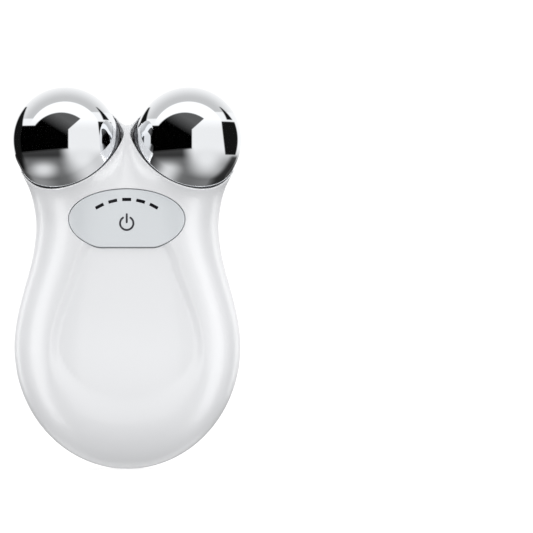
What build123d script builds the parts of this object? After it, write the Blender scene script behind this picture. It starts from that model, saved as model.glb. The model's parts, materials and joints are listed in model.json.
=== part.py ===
from build123d import *
from functools import lru_cache
import math
import os

# Hand-held facial toning device. Millimetres, +Z towards the electrodes, -Y is the face with the
# control panel. The origin is the middle of the grip: on the parting plane, at the widest section.

# ---- body form ----
PALM_WIDTH = 68.2
WAIST_WIDTH = 53.2
WAIST_Z = 40.0            # height of the waist above the widest section
GRIP_DROP = 36.9          # from the widest section down to the tip
SADDLE_Z = 65.1           # lowest point of the notch between the electrodes
SADDLE_Y = -9.0           # depth of the parting plane at the notch
PALM_FRONT = 16.0         # parting plane to the front of the palm
NECK_FRONT = 19.0         # the same at the control panel
NECK_Z = 46.0             # the front turns towards the saddle above this height
BACK_DEPTH = 14.0         # parting plane to the flat back
BACK_CROWN = 1.0          # how far the back would bulge if it had no flat
BACK_TURN_Z = 44.0        # the back turns towards the saddle above this height
PARTING_TURN_Z = 34.0     # the parting line starts to lean forward
PARTING_LEAN = 20.0       # height over which it leans
SIDE_POWER = 3.2          # squareness of the cross-sections
TIP_POWER = 2.4           # squareness of the side view at the tip
NECK_POWER = 2.2          # squareness of the closing neck
BACK_POWER = 3.0          # squareness of the back behind the notch
WALL = 2.0
SECTION_POINTS = 16

# ---- electrodes ----
CAP_RADIUS = 15.9
CAP_X = 18.57
CAP_Y = -12.0
CAP_Z = 62.3
CAP_WALL = 0.9
SKIRT_LENGTH = 3.3        # sphere centre to the rim of its ear
SPLAY = 30.0              # outward lean of the electrode axis, degrees
LEAN = 42.0               # forward lean of the electrode axis, degrees
RIM_GAP = 0.2             # shadow gap between the cap and the lip
LIP_WIDTH = 0.4
REBATE_DEPTH = 1.2
LEDGE_THICKNESS = 1.6
LEDGE_RADIUS = 12.6
EAR_ROOT = (10.8, -0.8, 33.0)
EAR_ROOT_RADIUS = 14.6
EAR_REACH = 10.0          # how straight the ear runs behind its rim
EAR_RISE = 9.0            # how upright the ear starts at its root
EAR_STATIONS = 6
RING_THICKNESS = 0.6
PLUG_GAP = 0.15
PLUG_DEPTH = 3.0          # how far the carrier reaches into the cap
PLUG_WALL = 1.6
NECK_GAP = 0.3
FLANGE_RADIUS = 13.9
FLANGE_THICKNESS = 1.2
FLANGE_GAP = 0.1
HUB_RADIUS = 3.2
HUB_DEPTH = 1.6           # hub behind the carrier's flange
HUB_RISE = 3.2            # hub in front of the carrier's web
POST_RADIUS = 2.6
POST_GAP = 0.1            # between the cap's post and the carrier's hub
ELECTRODE_SCREW_LENGTH = 9.0
TAB_THICKNESS = 0.4
TAB_RADIUS = 2.9
TAB_TAIL = 6.5
TAB_TAIL_WIDTH = 1.8

# ---- palm scoop ----
SCOOP_HALF_WIDTH = 22.0   # middle of its sloping edge, at the widest
SCOOP_NECK_WIDTH = 13.5   # the same beside the control panel
SCOOP_NECK_Z = 32.0
SCOOP_DROP = 21.5
SCOOP_TOP_Z = 36.0
SCOOP_TURN_Z = 26.0       # where its upper end starts to close
SCOOP_DEPTH = 1.0
SCOOP_SLOPE = 1.2         # width of the sloping edge for each millimetre of depth
SCOOP_POINTS = 9          # steps of its outline from top to bottom

# ---- control panel ----
PANEL_Z = 38.5
PANEL_HALF_WIDTH = 17.4
PANEL_RISE = 8.9
PANEL_FALL = 9.8
PANEL_FLAT = 8.5          # middle of the panel down to its straight lower edge
PANEL_GAP = 0.25
PANEL_PROUD = 0.2
PANEL_TRAVEL = 0.4
PANEL_FLANGE = 1.1
PANEL_FLANGE_THICKNESS = 1.0
SEAL_THICKNESS = 0.6
SEAL_GAP = 0.15
SEAL_INSET = 0.3
WINDOW_COUNT = 5
WINDOW_ARC_RADIUS = 17.6
WINDOW_ARC_STEP = 13.8    # degrees between windows
WINDOW_ARC_RISE = 5.85    # middle of the panel up to the middle window
WINDOW_LENGTH = 2.7
WINDOW_WIDTH = 0.95
WINDOW_DEPTH = 1.0
ICON_DROP = 1.3           # middle of the panel down to the middle of the power mark
ICON_RADIUS = 2.3
ICON_STROKE = 0.6
ICON_BAR_TOP = 1.7        # middle of the panel up to the top of the bar
ICON_GAP_ANGLE = 34.0     # half the opening of the ring, degrees
ICON_DEPTH = 0.5
INLAY_GAP = 0.02
SKIN_SECTIONS = 4
SKIN_POINTS = 9
SKIN_REACH = 12.0         # panel's middle to the first and last cross-section of its skin
GUIDE_BAR_BACK_Y = -13.0
GUIDE_BAR_HEIGHT = 2.4
GUIDE_BAR_OVERLAP = 1.2   # bar past the last window
ACTUATOR_RADIUS = 2.2

# ---- electronics ----
BOARD_HALF_WIDTH = 15.0
BOARD_BOTTOM_Z = 5.0
BOARD_TOP_Z = 46.0
BOARD_FRONT_Y = -6.4
BOARD_THICKNESS = 1.2
SWITCH_SIZE = 6.0
SWITCH_HEIGHT = 3.4
PLUNGER_RADIUS = 1.6
PLUNGER_GAP = 0.2
PLUNGER_OUT = 1.8
PLUNGER_IN = 0.8
CONTACT_GAP = 0.03
LED_SIZE = 1.6
LED_HEIGHT = 0.7
LED_GAP = 0.9             # LED to light guide, more than the panel's travel
BUZZER_RADIUS = 4.5
BUZZER_HEIGHT = 3.2
BUZZER_X = 8.0
BUZZER_Z = 20.0
CELL_WIDTH = 30.0
CELL_LENGTH = 50.0
CELL_THICKNESS = 6.2
CELL_BOTTOM_Z = -12.0
CELL_CORNER = 1.5
PAD_WIDTH = 24.0
PAD_LENGTH = 40.0
PAD_THICKNESS = 1.2
FRAME_THICKNESS = 1.6
FRAME_MARGIN = 0.6        # frame to the inside of the walls
FRAME_BOTTOM_Z = -16.0
FRAME_TOP_Z = 44.0
FRAME_GAP = 0.3           # battery to frame
FRAME_SLOT_WIDTH = 10.0
FRAME_SLOT_HEIGHT = 3.4
BOSS_X = 18.9
BOSS_LOW_Z = -6.0
BOSS_HIGH_Z = 24.0
BOSS_RADIUS = 2.4
STANDOFF_X = 12.4
STANDOFF_MARGIN = 3.0     # board edge to standoff
STANDOFF_RADIUS = 2.2
SCREW_RADIUS = 1.0
SCREW_HEAD_RADIUS = 1.9
SCREW_HEAD_HEIGHT = 1.3
SCREW_SOCKET_RADIUS = 0.6
SCREW_BITE = 4.0
SCREW_GAP = 0.05
LEAD_RADIUS = 0.55
LEAD_PITCH = 1.6
LEAD_RISE = 3.1           # battery leads above the cell
LEAD_DROP = 2.5           # electrode leads straight behind their tab
LEAD_OVER = 1.5           # and above the board
LEAD_PAD_X = 6.0
LEAD_PAD_DROP = 3.0
BOARD_CORNER = 1.5
BUZZER_HOLE = 0.9
CHARGE_WIRES = 4
CHIPS = (                 # x, height above the board's lower edge, width, height, thickness
    (-5.5, 20.0, 7.0, 7.0, 1.0),
    (5.5, 20.5, 5.0, 6.2, 1.6),
    (6.0, 12.0, 5.8, 5.8, 3.0),
    (-6.5, 11.0, 3.0, 3.0, 0.9),
    (0.0, 5.0, 6.0, 3.2, 1.2),
)

# ---- charging socket ----
SOCKET_WIDTH = 8.94
SOCKET_HEIGHT = 3.26
SOCKET_LENGTH = 7.35
SOCKET_WALL = 0.3
SOCKET_GAP = 0.15
SOCKET_SETBACK = 0.5
TONGUE_WIDTH = 6.7
TONGUE_THICKNESS = 0.7
TONGUE_SETBACK = 0.6
CHARGE_BOARD_WIDTH = 13.0
CHARGE_BOARD_LENGTH = 12.0
CHARGE_BOARD_THICKNESS = 0.8
CHARGE_POST_X = 4.6
CHARGE_POST_RADIUS = 1.6
CHARGE_POST_MARGIN = 2.2
SOCKET_LANDING = 3.4      # socket over the charging board

# ---- worked-out values ----
SPAN = 400.0              # larger than the device, for cutting tools
UP = Vector(0, 0, 1)
CAP_CENTRE = Vector(CAP_X, CAP_Y, CAP_Z)
CAP_AXIS = Vector(
    math.sin(math.radians(SPLAY)) * math.cos(math.radians(LEAN)),
    -math.sin(math.radians(LEAN)),
    math.cos(math.radians(SPLAY)) * math.cos(math.radians(LEAN)),
)
CAP_ACROSS = Vector(math.cos(math.radians(SPLAY)), 0, -math.sin(math.radians(SPLAY)))
RIM_CENTRE = CAP_CENTRE - CAP_AXIS * SKIRT_LENGTH
RIM_RADIUS = CAP_RADIUS + RIM_GAP + LIP_WIDTH
RIM_PLANE = Plane(origin=RIM_CENTRE, x_dir=CAP_ACROSS, z_dir=CAP_AXIS)
BOARD_BACK_Y = BOARD_FRONT_Y + BOARD_THICKNESS
CELL_BACK_Y = BACK_DEPTH - WALL - PAD_THICKNESS
CELL_FRONT_Y = CELL_BACK_Y - CELL_THICKNESS
FRAME_BACK_Y = CELL_FRONT_Y - FRAME_GAP
FRAME_FRONT_Y = FRAME_BACK_Y - FRAME_THICKNESS
PANEL_INNER = WALL + SEAL_THICKNESS + SEAL_GAP
PANEL_BACK = PANEL_INNER + PANEL_FLANGE_THICKNESS
SWITCH_Z = PANEL_Z - ICON_DROP
SWITCH_FRONT_Y = BOARD_FRONT_Y - SWITCH_HEIGHT
PLUNGER_TIP_Y = SWITCH_FRONT_Y - PLUNGER_OUT
ACTUATOR_TIP_Y = PLUNGER_TIP_Y - CONTACT_GAP
LED_FRONT_Y = BOARD_FRONT_Y - LED_HEIGHT
GUIDE_BACK_Y = LED_FRONT_Y - LED_GAP
SOCKET_MOUTH_Z = -GRIP_DROP + SOCKET_SETBACK
SOCKET_TOP_Z = SOCKET_MOUTH_Z + SOCKET_LENGTH
CHARGE_BOARD_BACK_Y = SOCKET_HEIGHT / 2 + CHARGE_BOARD_THICKNESS
CHARGE_BOARD_BOTTOM_Z = SOCKET_TOP_Z - SOCKET_LANDING
CHARGE_BOARD_TOP_Z = CHARGE_BOARD_BOTTOM_Z + CHARGE_BOARD_LENGTH
CHARGE_POST_Z = CHARGE_BOARD_TOP_Z - CHARGE_POST_MARGIN
SKIRT_END = RING_THICKNESS - REBATE_DEPTH
FLANGE_FRONT = -REBATE_DEPTH - LEDGE_THICKNESS - FLANGE_GAP
FLANGE_BACK = FLANGE_FRONT - FLANGE_THICKNESS
HUB_BACK = FLANGE_BACK - HUB_DEPTH
HUB_FRONT = FLANGE_FRONT + HUB_RISE
POST_BOTTOM = HUB_FRONT + POST_GAP
TAB_BACK = HUB_BACK - TAB_THICKNESS
POST_HOLE_TOP = TAB_BACK + ELECTRODE_SCREW_LENGTH + POST_GAP


# ---- body form ----
def ease(share):
    """0 to 1 with a soft start and a soft end."""
    share = min(1.0, max(0.0, share))
    return share * share * (3.0 - 2.0 * share)


def dome(share, power=2.0):
    """1 in the middle of a rounded end, 0 at its tip."""
    return max(0.0, 1.0 - min(1.0, abs(share)) ** power) ** (1.0 / power)


def body_extents(z, inset):
    """Half width, front, parting line and back of the body at one height."""
    top = SADDLE_Z - inset
    half = PALM_WIDTH / 2 - (PALM_WIDTH - WAIST_WIDTH) / 2 * ease(z / WAIST_Z) - inset
    front = PALM_FRONT + (NECK_FRONT - PALM_FRONT) * ease(z / NECK_Z) - inset
    back = BACK_DEPTH + BACK_CROWN - inset
    middle = SADDLE_Y * ease((z - PARTING_TURN_Z) / PARTING_LEAN)
    if z < 0:
        drop = z / (GRIP_DROP - inset)
        tip = dome(drop, TIP_POWER)
        return half * dome(drop), -front * tip, middle, back * tip
    if z > WAIST_Z:
        half *= dome((z - WAIST_Z) / (top - WAIST_Z), NECK_POWER)
    front_y, back_y = -front, back
    if z > NECK_Z:
        front_y = SADDLE_Y - (front + SADDLE_Y) * dome((z - NECK_Z) / (top - NECK_Z))
    if z > BACK_TURN_Z:
        turn = dome((z - BACK_TURN_Z) / (top - BACK_TURN_Z), BACK_POWER)
        back_y = SADDLE_Y + (back - SADDLE_Y) * turn
    return half, front_y, middle, back_y


def rounded(value, scale):
    """One coordinate of a superellipse from the sine or cosine of its angle."""
    return math.copysign(abs(value) ** (2.0 / SIDE_POWER), value) * scale


def body_section(z, inset):
    half, front, middle, back = body_extents(z, inset)
    points = []
    for step in range(SECTION_POINTS):
        angle = 2 * math.pi * step / SECTION_POINTS + math.pi / 2
        depth = back - middle if math.sin(angle) > 0 else middle - front
        x = rounded(math.cos(angle), half)
        y = middle + rounded(math.sin(angle), depth)
        points.append(Vector(x, y, z))
    return Wire([Edge.make_spline(points, periodic=True)])


@lru_cache(maxsize=None)
def core_form(inset):
    """The body without its ears, as a loft of cross-sections closed at the tip and the saddle."""
    drop = GRIP_DROP - inset
    top = SADDLE_Z - inset
    heights = [-drop * math.sin(math.radians(angle)) for angle in (82, 68, 54, 40, 26, 13)]
    heights += [WAIST_Z * quarter / 4 for quarter in range(5)]
    rise = top - WAIST_Z
    heights += [WAIST_Z + rise * math.sin(math.radians(angle)) for angle in (18, 36, 52, 67, 80)]
    sections = [body_section(z, inset) for z in heights]
    return Solid.make_loft([Vertex(0, 0, -drop)] + sections + [Vertex(0, SADDLE_Y, top)])


def back_at(x, z, inset):
    """Depth of the back of the body beside the flat."""
    half, _, middle, back = body_extents(z, inset)
    return middle + (back - middle) * dome(x / half, SIDE_POWER)


def ear_form(inset):
    """One tapered ear, bending from the neck to the rim that holds the electrode."""
    root = Vector(*EAR_ROOT)
    controls = [RIM_CENTRE, RIM_CENTRE - CAP_AXIS * EAR_REACH, root + UP * EAR_RISE, root]
    rings = []
    for station in range(EAR_STATIONS):
        t = station / (EAR_STATIONS - 1)
        u = 1 - t
        centre = (
            controls[0] * u**3
            + controls[1] * (3 * u * u * t)
            + controls[2] * (3 * u * t * t)
            + controls[3] * t**3
        )
        heading = (
            (controls[1] - controls[0]) * (u * u)
            + (controls[2] - controls[1]) * (2 * u * t)
            + (controls[3] - controls[2]) * (t * t)
        )
        radius = RIM_RADIUS + (EAR_ROOT_RADIUS - RIM_RADIUS) * ease(t) - inset
        plane = Plane(origin=centre, x_dir=CAP_ACROSS, z_dir=-heading)
        rings.append(Wire.make_circle(radius, plane))
    return Solid.make_loft(rings)


def scoop_half(z):
    """Half width of the scoop at one height, middle of its edge."""
    half = SCOOP_HALF_WIDTH - (SCOOP_HALF_WIDTH - SCOOP_NECK_WIDTH) * ease(z / SCOOP_NECK_Z)
    if z < 0:
        return half * dome(z / SCOOP_DROP)
    return half * dome(max(z - SCOOP_TURN_Z, 0.0) / (SCOOP_TOP_Z - SCOOP_TURN_Z))


def scoop_section(y, extra):
    """The scoop's outline at one depth, grown all round by the extra."""
    middle = (SCOOP_TOP_Z - SCOOP_DROP) / 2
    reach = (SCOOP_TOP_Z + SCOOP_DROP) / 2
    turns = [math.pi * step / SCOOP_POINTS for step in range(SCOOP_POINTS + 1)]
    right = [Vector(scoop_half(z), y, z) for z in (middle + reach * math.cos(turn) for turn in turns)]
    outline = right + [Vector(-point.X, y, point.Z) for point in reversed(right[1:-1])]
    points = []
    for before, point, after in zip(outline[-1:] + outline[:-1], outline, outline[1:] + outline[:1]):
        along = (after - before).normalized()
        points.append(point + Vector(-along.Z, 0, along.X) * extra)
    return Wire([Edge.make_spline(points, periodic=True)])


def scoop_form(inset):
    """What the shallow, flat-bottomed hollow for the thumb takes from the front of the palm."""
    edge_y = -PALM_FRONT * dome(2 * SCOOP_HALF_WIDTH / PALM_WIDTH, SIDE_POWER)
    sections = []
    for y in (-NECK_FRONT - WALL, edge_y + 2 * WALL):
        sections.append(scoop_section(y, inset + (edge_y - y) * SCOOP_SLOPE))
    return Solid.make_loft(sections, ruled=True) - core_form(SCOOP_DEPTH + inset)


def mirrored(shape):
    return shape.mirror(Plane.YZ)


def body_form(inset):
    """The whole body, smaller all round by the inset."""
    ear = ear_form(inset)
    behind_back = Pos(0, BACK_DEPTH - inset - SPAN / 2, 0) * Box(SPAN, SPAN, SPAN)
    return (Part() + core_form(inset) + ear + mirrored(ear)) & behind_back


# ---- helpers ----
def slab(y_from, y_to, x_half, z_from, z_to):
    """A block between two depths."""
    middle = Pos(0, (y_from + y_to) / 2, (z_from + z_to) / 2)
    return middle * Box(2 * x_half, abs(y_to - y_from), z_to - z_from)


def rod(x, z, y_from, y_to, radius):
    """A round bar along Y."""
    low, high = min(y_from, y_to), max(y_from, y_to)
    return Pos(x, (low + high) / 2, z) * Rot(90, 0, 0) * Cylinder(radius, high - low)


def facing(z):
    """A drawing plane seen from the front: its own X is X and its own Y is Z."""
    return Plane(origin=(0, 0, z), x_dir=(1, 0, 0), z_dir=(0, -1, 0))


def prism(sketch, z, y_from, y_to):
    """A sketch drawn on the front plane, pushed from one depth to another."""
    front, back = min(y_from, y_to), max(y_from, y_to)
    return Pos(0, back, 0) * extrude(facing(z) * sketch, back - front)


def on_axis(profile):
    """A profile of radius and height, turned about the electrode's axis from its rim plane."""
    turned = revolve(Plane.XZ * make_face(Polyline(*profile, close=True)), Axis.Z)
    return RIM_PLANE.location * turned


def disc(radius, low, high, bore=0.0):
    """A ring or disc about the electrode's axis, between two heights above the rim plane."""
    return on_axis([(bore, low), (radius, low), (radius, high), (bore, high)])


def bend_radii(points):
    """The largest arc that the shorter run beside each corner allows."""
    spots = [Vector(*point) for point in points]
    radii = []
    for before, corner, after in zip(spots, spots[1:], spots[2:]):
        turn = math.radians((corner - before).get_angle(after - corner))
        radii.append(0.45 * min((corner - before).length, (after - corner).length) / math.tan(turn / 2))
    return radii


def wire_run(points):
    path = FilletPolyline(*points, radius=bend_radii(points))
    start = Plane(origin=path @ 0, z_dir=path % 0)
    return sweep(start * Circle(LEAD_RADIUS), path)


# ---- control panel ----
def panel_outline(extra=0.0):
    """Half an ellipse above, a fuller half below, cut straight at the bottom."""
    sizes = (PANEL_HALF_WIDTH, PANEL_RISE, PANEL_FALL, PANEL_FLAT)
    half, rise, fall, flat = (size + extra for size in sizes)
    upper = Ellipse(half, rise) & Pos(0, rise / 2) * Rectangle(2 * half, rise)
    lower = Ellipse(half, fall) & Pos(0, -flat / 2) * Rectangle(2 * half, flat)
    return upper + lower


def window_places():
    """The middle of each indicator window from the middle of the panel, with its tilt."""
    centre = WINDOW_ARC_RISE - WINDOW_ARC_RADIUS
    places = []
    for index in range(WINDOW_COUNT):
        angle = (index - (WINDOW_COUNT - 1) / 2) * WINDOW_ARC_STEP
        x = WINDOW_ARC_RADIUS * math.sin(math.radians(angle))
        y = centre + WINDOW_ARC_RADIUS * math.cos(math.radians(angle))
        places.append((x, y, -angle))
    return places


def window_sketch(extra=0.0):
    bars = [
        Pos(x, y) * Rot(0, 0, tilt) * Rectangle(WINDOW_LENGTH + 2 * extra, WINDOW_WIDTH + 2 * extra)
        for x, y, tilt in window_places()
    ]
    return Sketch() + bars


def icon_sketch(extra=0.0):
    """A broken ring with a bar through its opening."""
    ring = Circle(ICON_RADIUS + extra) - Circle(ICON_RADIUS - ICON_STROKE - extra)
    reach = 2 * ICON_RADIUS
    half_gap = reach * math.tan(math.radians(ICON_GAP_ANGLE))
    ring -= make_face(Polyline((0, extra), (half_gap, reach), (-half_gap, reach), close=True))
    bar_height = ICON_BAR_TOP + ICON_DROP
    bar = Pos(0, bar_height / 2) * Rectangle(ICON_STROKE + 2 * extra, bar_height + 2 * extra)
    return Pos(0, -ICON_DROP) * (ring + bar)


@lru_cache(maxsize=None)
def neck_skin(inset):
    """The front half of the body around the panel, from a few cross-sections."""
    wires = []
    for step in range(SKIN_SECTIONS):
        z = PANEL_Z + SKIN_REACH * (2 * step / (SKIN_SECTIONS - 1) - 1)
        half, front, middle, _ = body_extents(z, inset)
        points = []
        for turn in range(SKIN_POINTS):
            angle = math.pi * (1 + turn / (SKIN_POINTS - 1))
            x = rounded(math.cos(angle), half)
            points.append(Vector(x, middle + rounded(math.sin(angle), middle - front), z))
        corners = [points[-1], Vector(half, BACK_DEPTH, z), Vector(-half, BACK_DEPTH, z), points[0]]
        sides = [Edge.make_line(start, end) for start, end in zip(corners, corners[1:])]
        wires.append(Wire([Edge.make_spline(points)] + sides))
    return Solid.make_loft(wires)


def panel_layer(sketch, outer, inner):
    """A sketch as a plate that follows the front of the body between two depths below its surface."""
    block = prism(sketch, PANEL_Z, -SPAN / 2, BOARD_FRONT_Y)
    return (block & neck_skin(outer)) - neck_skin(inner)


def make_panel():
    face = panel_layer(panel_outline(), -PANEL_PROUD, PANEL_BACK)
    flange = panel_layer(panel_outline(PANEL_FLANGE), PANEL_INNER, PANEL_BACK)
    actuator_root_y = PANEL_INNER - NECK_FRONT
    actuator = rod(0, SWITCH_Z, actuator_root_y, ACTUATOR_TIP_Y, ACTUATOR_RADIUS)
    panel = face + flange + actuator
    panel -= prism(window_sketch(INLAY_GAP), PANEL_Z, -SPAN / 2, BOARD_FRONT_Y)
    panel -= panel_layer(icon_sketch(INLAY_GAP), -2 * PANEL_PROUD, ICON_DEPTH + INLAY_GAP)
    return panel


def make_windows():
    return panel_layer(window_sketch(), -PANEL_PROUD, WINDOW_DEPTH)


def make_icon():
    return panel_layer(icon_sketch(), -PANEL_PROUD, ICON_DEPTH)


def make_guide():
    """A clear bar behind the panel, with a peg into each window and a leg towards each lamp."""
    centre = WINDOW_ARC_RISE - WINDOW_ARC_RADIUS
    half_height = GUIDE_BAR_HEIGHT / 2
    ring = Circle(WINDOW_ARC_RADIUS + half_height) - Circle(WINDOW_ARC_RADIUS - half_height)
    x, y, _ = window_places()[-1]
    reach = x + WINDOW_LENGTH / 2 + GUIDE_BAR_OVERLAP
    sector = Pos(0, WINDOW_ARC_RADIUS) * Rectangle(2 * reach, WINDOW_ARC_RADIUS)
    band = Pos(0, centre) * (ring & sector)
    bar = prism(band, PANEL_Z, -SPAN / 2, GUIDE_BAR_BACK_Y) & neck_skin(PANEL_BACK + INLAY_GAP)
    pegs = panel_layer(window_sketch(), WINDOW_DEPTH + INLAY_GAP, PANEL_BACK + INLAY_GAP)
    legs = prism(window_sketch(), PANEL_Z, GUIDE_BAR_BACK_Y, GUIDE_BACK_Y)
    return bar + pegs + legs


def make_seal():
    ring = panel_outline(PANEL_FLANGE) - panel_outline(PANEL_GAP + SEAL_INSET)
    return panel_layer(ring, WALL + INLAY_GAP, WALL + SEAL_THICKNESS)


# ---- electrodes ----
def make_cap():
    """A plated dome with a short skirt and a post for its screw."""
    inner = CAP_RADIUS - CAP_WALL
    dome_z = SKIRT_LENGTH
    post_top = dome_z + math.sqrt(inner**2 - POST_RADIUS**2)
    slope = math.sqrt(0.5)
    outline = Line((inner, SKIRT_END), (CAP_RADIUS, SKIRT_END))
    outline += Line((CAP_RADIUS, SKIRT_END), (CAP_RADIUS, dome_z))
    outline += ThreePointArc(
        (CAP_RADIUS, dome_z), (CAP_RADIUS * slope, dome_z + CAP_RADIUS * slope), (0, dome_z + CAP_RADIUS)
    )
    outline += Polyline(
        (0, dome_z + CAP_RADIUS),
        (0, POST_HOLE_TOP),
        (SCREW_RADIUS + SCREW_GAP, POST_HOLE_TOP),
        (SCREW_RADIUS + SCREW_GAP, POST_BOTTOM),
        (POST_RADIUS, POST_BOTTOM),
        (POST_RADIUS, post_top),
    )
    outline += ThreePointArc(
        (POST_RADIUS, post_top), (inner * slope, dome_z + inner * slope), (inner, dome_z)
    )
    outline += Line((inner, dome_z), (inner, SKIRT_END))
    turned = revolve(Plane.XZ * make_face(outline), Axis.Z)
    return RIM_PLANE.location * turned


def make_carrier():
    """A moulded cup that fills the cap's skirt and is trapped behind the ledge of the ear."""
    hole = SCREW_RADIUS + SCREW_GAP
    neck = LEDGE_RADIUS - NECK_GAP
    plug = CAP_RADIUS - CAP_WALL - PLUG_GAP
    web_front = FLANGE_FRONT + PLUG_GAP
    return on_axis(
        [
            (hole, HUB_BACK),
            (HUB_RADIUS, HUB_BACK),
            (HUB_RADIUS, FLANGE_BACK),
            (FLANGE_RADIUS, FLANGE_BACK),
            (FLANGE_RADIUS, FLANGE_FRONT),
            (neck, FLANGE_FRONT),
            (neck, SKIRT_END),
            (plug, SKIRT_END),
            (plug, PLUG_DEPTH),
            (plug - PLUG_WALL, PLUG_DEPTH),
            (plug - PLUG_WALL, SKIRT_END + PLUG_WALL),
            (neck - PLUG_WALL, SKIRT_END + PLUG_WALL),
            (neck - PLUG_WALL, web_front),
            (HUB_RADIUS, web_front),
            (HUB_RADIUS, HUB_FRONT),
            (hole, HUB_FRONT),
        ]
    )


def make_ring():
    """The dark seal that shows as a thin line between the cap and the lip."""
    bore = LEDGE_RADIUS - NECK_GAP + INLAY_GAP
    return disc(RIM_RADIUS - LIP_WIDTH - INLAY_GAP, -REBATE_DEPTH, SKIRT_END, bore)


def make_tab():
    """A ring terminal under the screw, with a tail for the lead."""
    ring = disc(TAB_RADIUS, TAB_BACK, HUB_BACK, SCREW_RADIUS + SCREW_GAP)
    tail_length = TAB_TAIL - TAB_RADIUS * math.sqrt(0.5)
    tail_y = -(TAB_TAIL + TAB_RADIUS * math.sqrt(0.5)) / 2
    tail = Pos(0, tail_y, (TAB_BACK + HUB_BACK) / 2) * Box(TAB_TAIL_WIDTH, tail_length, TAB_THICKNESS)
    return ring + RIM_PLANE.location * tail


def make_electrode_screw():
    head = disc(SCREW_HEAD_RADIUS, TAB_BACK - SCREW_HEAD_HEIGHT, TAB_BACK)
    shank = disc(SCREW_RADIUS, TAB_BACK, TAB_BACK + ELECTRODE_SCREW_LENGTH)
    socket = disc(SCREW_SOCKET_RADIUS, TAB_BACK - SCREW_HEAD_HEIGHT, TAB_BACK - SCREW_HEAD_HEIGHT / 2)
    return head + shank - socket


def make_electrode_lead():
    """From the tab's tail, round the top of the board, to a pad on its back."""
    tail_y = -(TAB_TAIL - LEAD_RADIUS)
    start = RIM_PLANE.from_local_coords(Vector(0, tail_y, TAB_BACK - LEAD_RADIUS))
    below = RIM_PLANE.from_local_coords(Vector(0, tail_y, TAB_BACK - LEAD_RADIUS - LEAD_DROP))
    lead_y = BOARD_BACK_Y + LEAD_RADIUS + INLAY_GAP
    over = Vector((start.X + LEAD_PAD_X) / 2, lead_y, BOARD_TOP_Z + LEAD_OVER)
    end = Vector(LEAD_PAD_X, lead_y, BOARD_TOP_Z - LEAD_PAD_DROP)
    return wire_run([start, below, over, end])


# ---- shells ----
def parting_front():
    """Everything in front of the parting surface."""
    low, high = PARTING_TURN_Z, PARTING_TURN_Z + PARTING_LEAN
    bend = PARTING_LEAN / 3
    edge = Line((0, -SPAN), (0, low))
    edge += Bezier((0, low), (0, low + bend), (SADDLE_Y, high - bend), (SADDLE_Y, high))
    edge += Polyline((SADDLE_Y, high), (SADDLE_Y, SPAN), (-SPAN, SPAN), (-SPAN, -SPAN), (0, -SPAN))
    return extrude(Plane.YZ * make_face(edge), SPAN / 2, both=True)


def socket_slot(extra, z_from, z_to):
    slot = SlotOverall(SOCKET_WIDTH + 2 * extra, SOCKET_HEIGHT + 2 * extra)
    return Pos(0, 0, z_from) * extrude(slot, z_to - z_from)


def make_bosses():
    """Posts on the back shell for the frame and the charging board, ending in the wall."""
    posts = []
    for x in (-BOSS_X, BOSS_X):
        for z in (BOSS_LOW_Z, BOSS_HIGH_Z):
            post = rod(x, z, FRAME_BACK_Y, back_at(BOSS_X + BOSS_RADIUS, z, WALL / 4), BOSS_RADIUS)
            hole = rod(x, z, FRAME_BACK_Y, FRAME_BACK_Y + SCREW_BITE + SCREW_GAP, SCREW_RADIUS + SCREW_GAP)
            posts.append(post - hole)
    for x in (-CHARGE_POST_X, CHARGE_POST_X):
        wall_y = back_at(CHARGE_POST_X + CHARGE_POST_RADIUS, CHARGE_POST_Z - CHARGE_POST_RADIUS, WALL / 4)
        posts.append(rod(x, CHARGE_POST_Z, CHARGE_BOARD_BACK_Y, wall_y, CHARGE_POST_RADIUS))
    return posts


def make_shells():
    """The two mouldings of the body, split at the parting surface."""
    hollow = (body_form(0) - scoop_form(0)) - (body_form(WALL) - scoop_form(WALL))
    ledge = disc(RIM_RADIUS - WALL / 2, -REBATE_DEPTH - LEDGE_THICKNESS, -REBATE_DEPTH)
    bore = disc(LEDGE_RADIUS, -REBATE_DEPTH - LEDGE_THICKNESS, -REBATE_DEPTH)
    rebate = disc(RIM_RADIUS - LIP_WIDTH, -REBATE_DEPTH, CAP_RADIUS)
    hollow += [ledge, mirrored(ledge)]
    hollow -= [bore, mirrored(bore), rebate, mirrored(rebate)]
    hollow -= socket_slot(SOCKET_GAP, -SPAN / 2, SOCKET_TOP_Z)
    tool = parting_front()
    front = hollow & tool
    front -= prism(panel_outline(PANEL_GAP), PANEL_Z, -SPAN / 2, BOARD_FRONT_Y)
    pocket = prism(panel_outline(PANEL_FLANGE + PANEL_GAP), PANEL_Z, -SPAN / 2, BOARD_FRONT_Y)
    front -= pocket & neck_skin(WALL)
    back = (hollow - tool) + make_bosses()
    return front, back


# ---- electronics ----
def make_frame():
    """The chassis between the battery and the board, shaped to the inside of the body."""
    layer = slab(FRAME_FRONT_Y, FRAME_BACK_Y, SPAN / 2, FRAME_BOTTOM_Z, FRAME_TOP_Z)
    plate = core_form(WALL + FRAME_MARGIN) & layer
    slot_z = CELL_BOTTOM_Z + CELL_LENGTH + LEAD_RISE
    low, high = slot_z - FRAME_SLOT_HEIGHT / 2, slot_z + FRAME_SLOT_HEIGHT / 2
    plate -= slab(FRAME_FRONT_Y, FRAME_BACK_Y, FRAME_SLOT_WIDTH / 2, low, high)
    for x, z in frame_screw_places():
        plate -= rod(x, z, FRAME_FRONT_Y, FRAME_BACK_Y, SCREW_RADIUS + SCREW_GAP)
    for x, z in board_screw_places():
        plate += rod(x, z, BOARD_BACK_Y, FRAME_FRONT_Y, STANDOFF_RADIUS)
        plate -= rod(x, z, BOARD_BACK_Y, BOARD_BACK_Y + SCREW_BITE + SCREW_GAP, SCREW_RADIUS + SCREW_GAP)
    return plate


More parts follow.
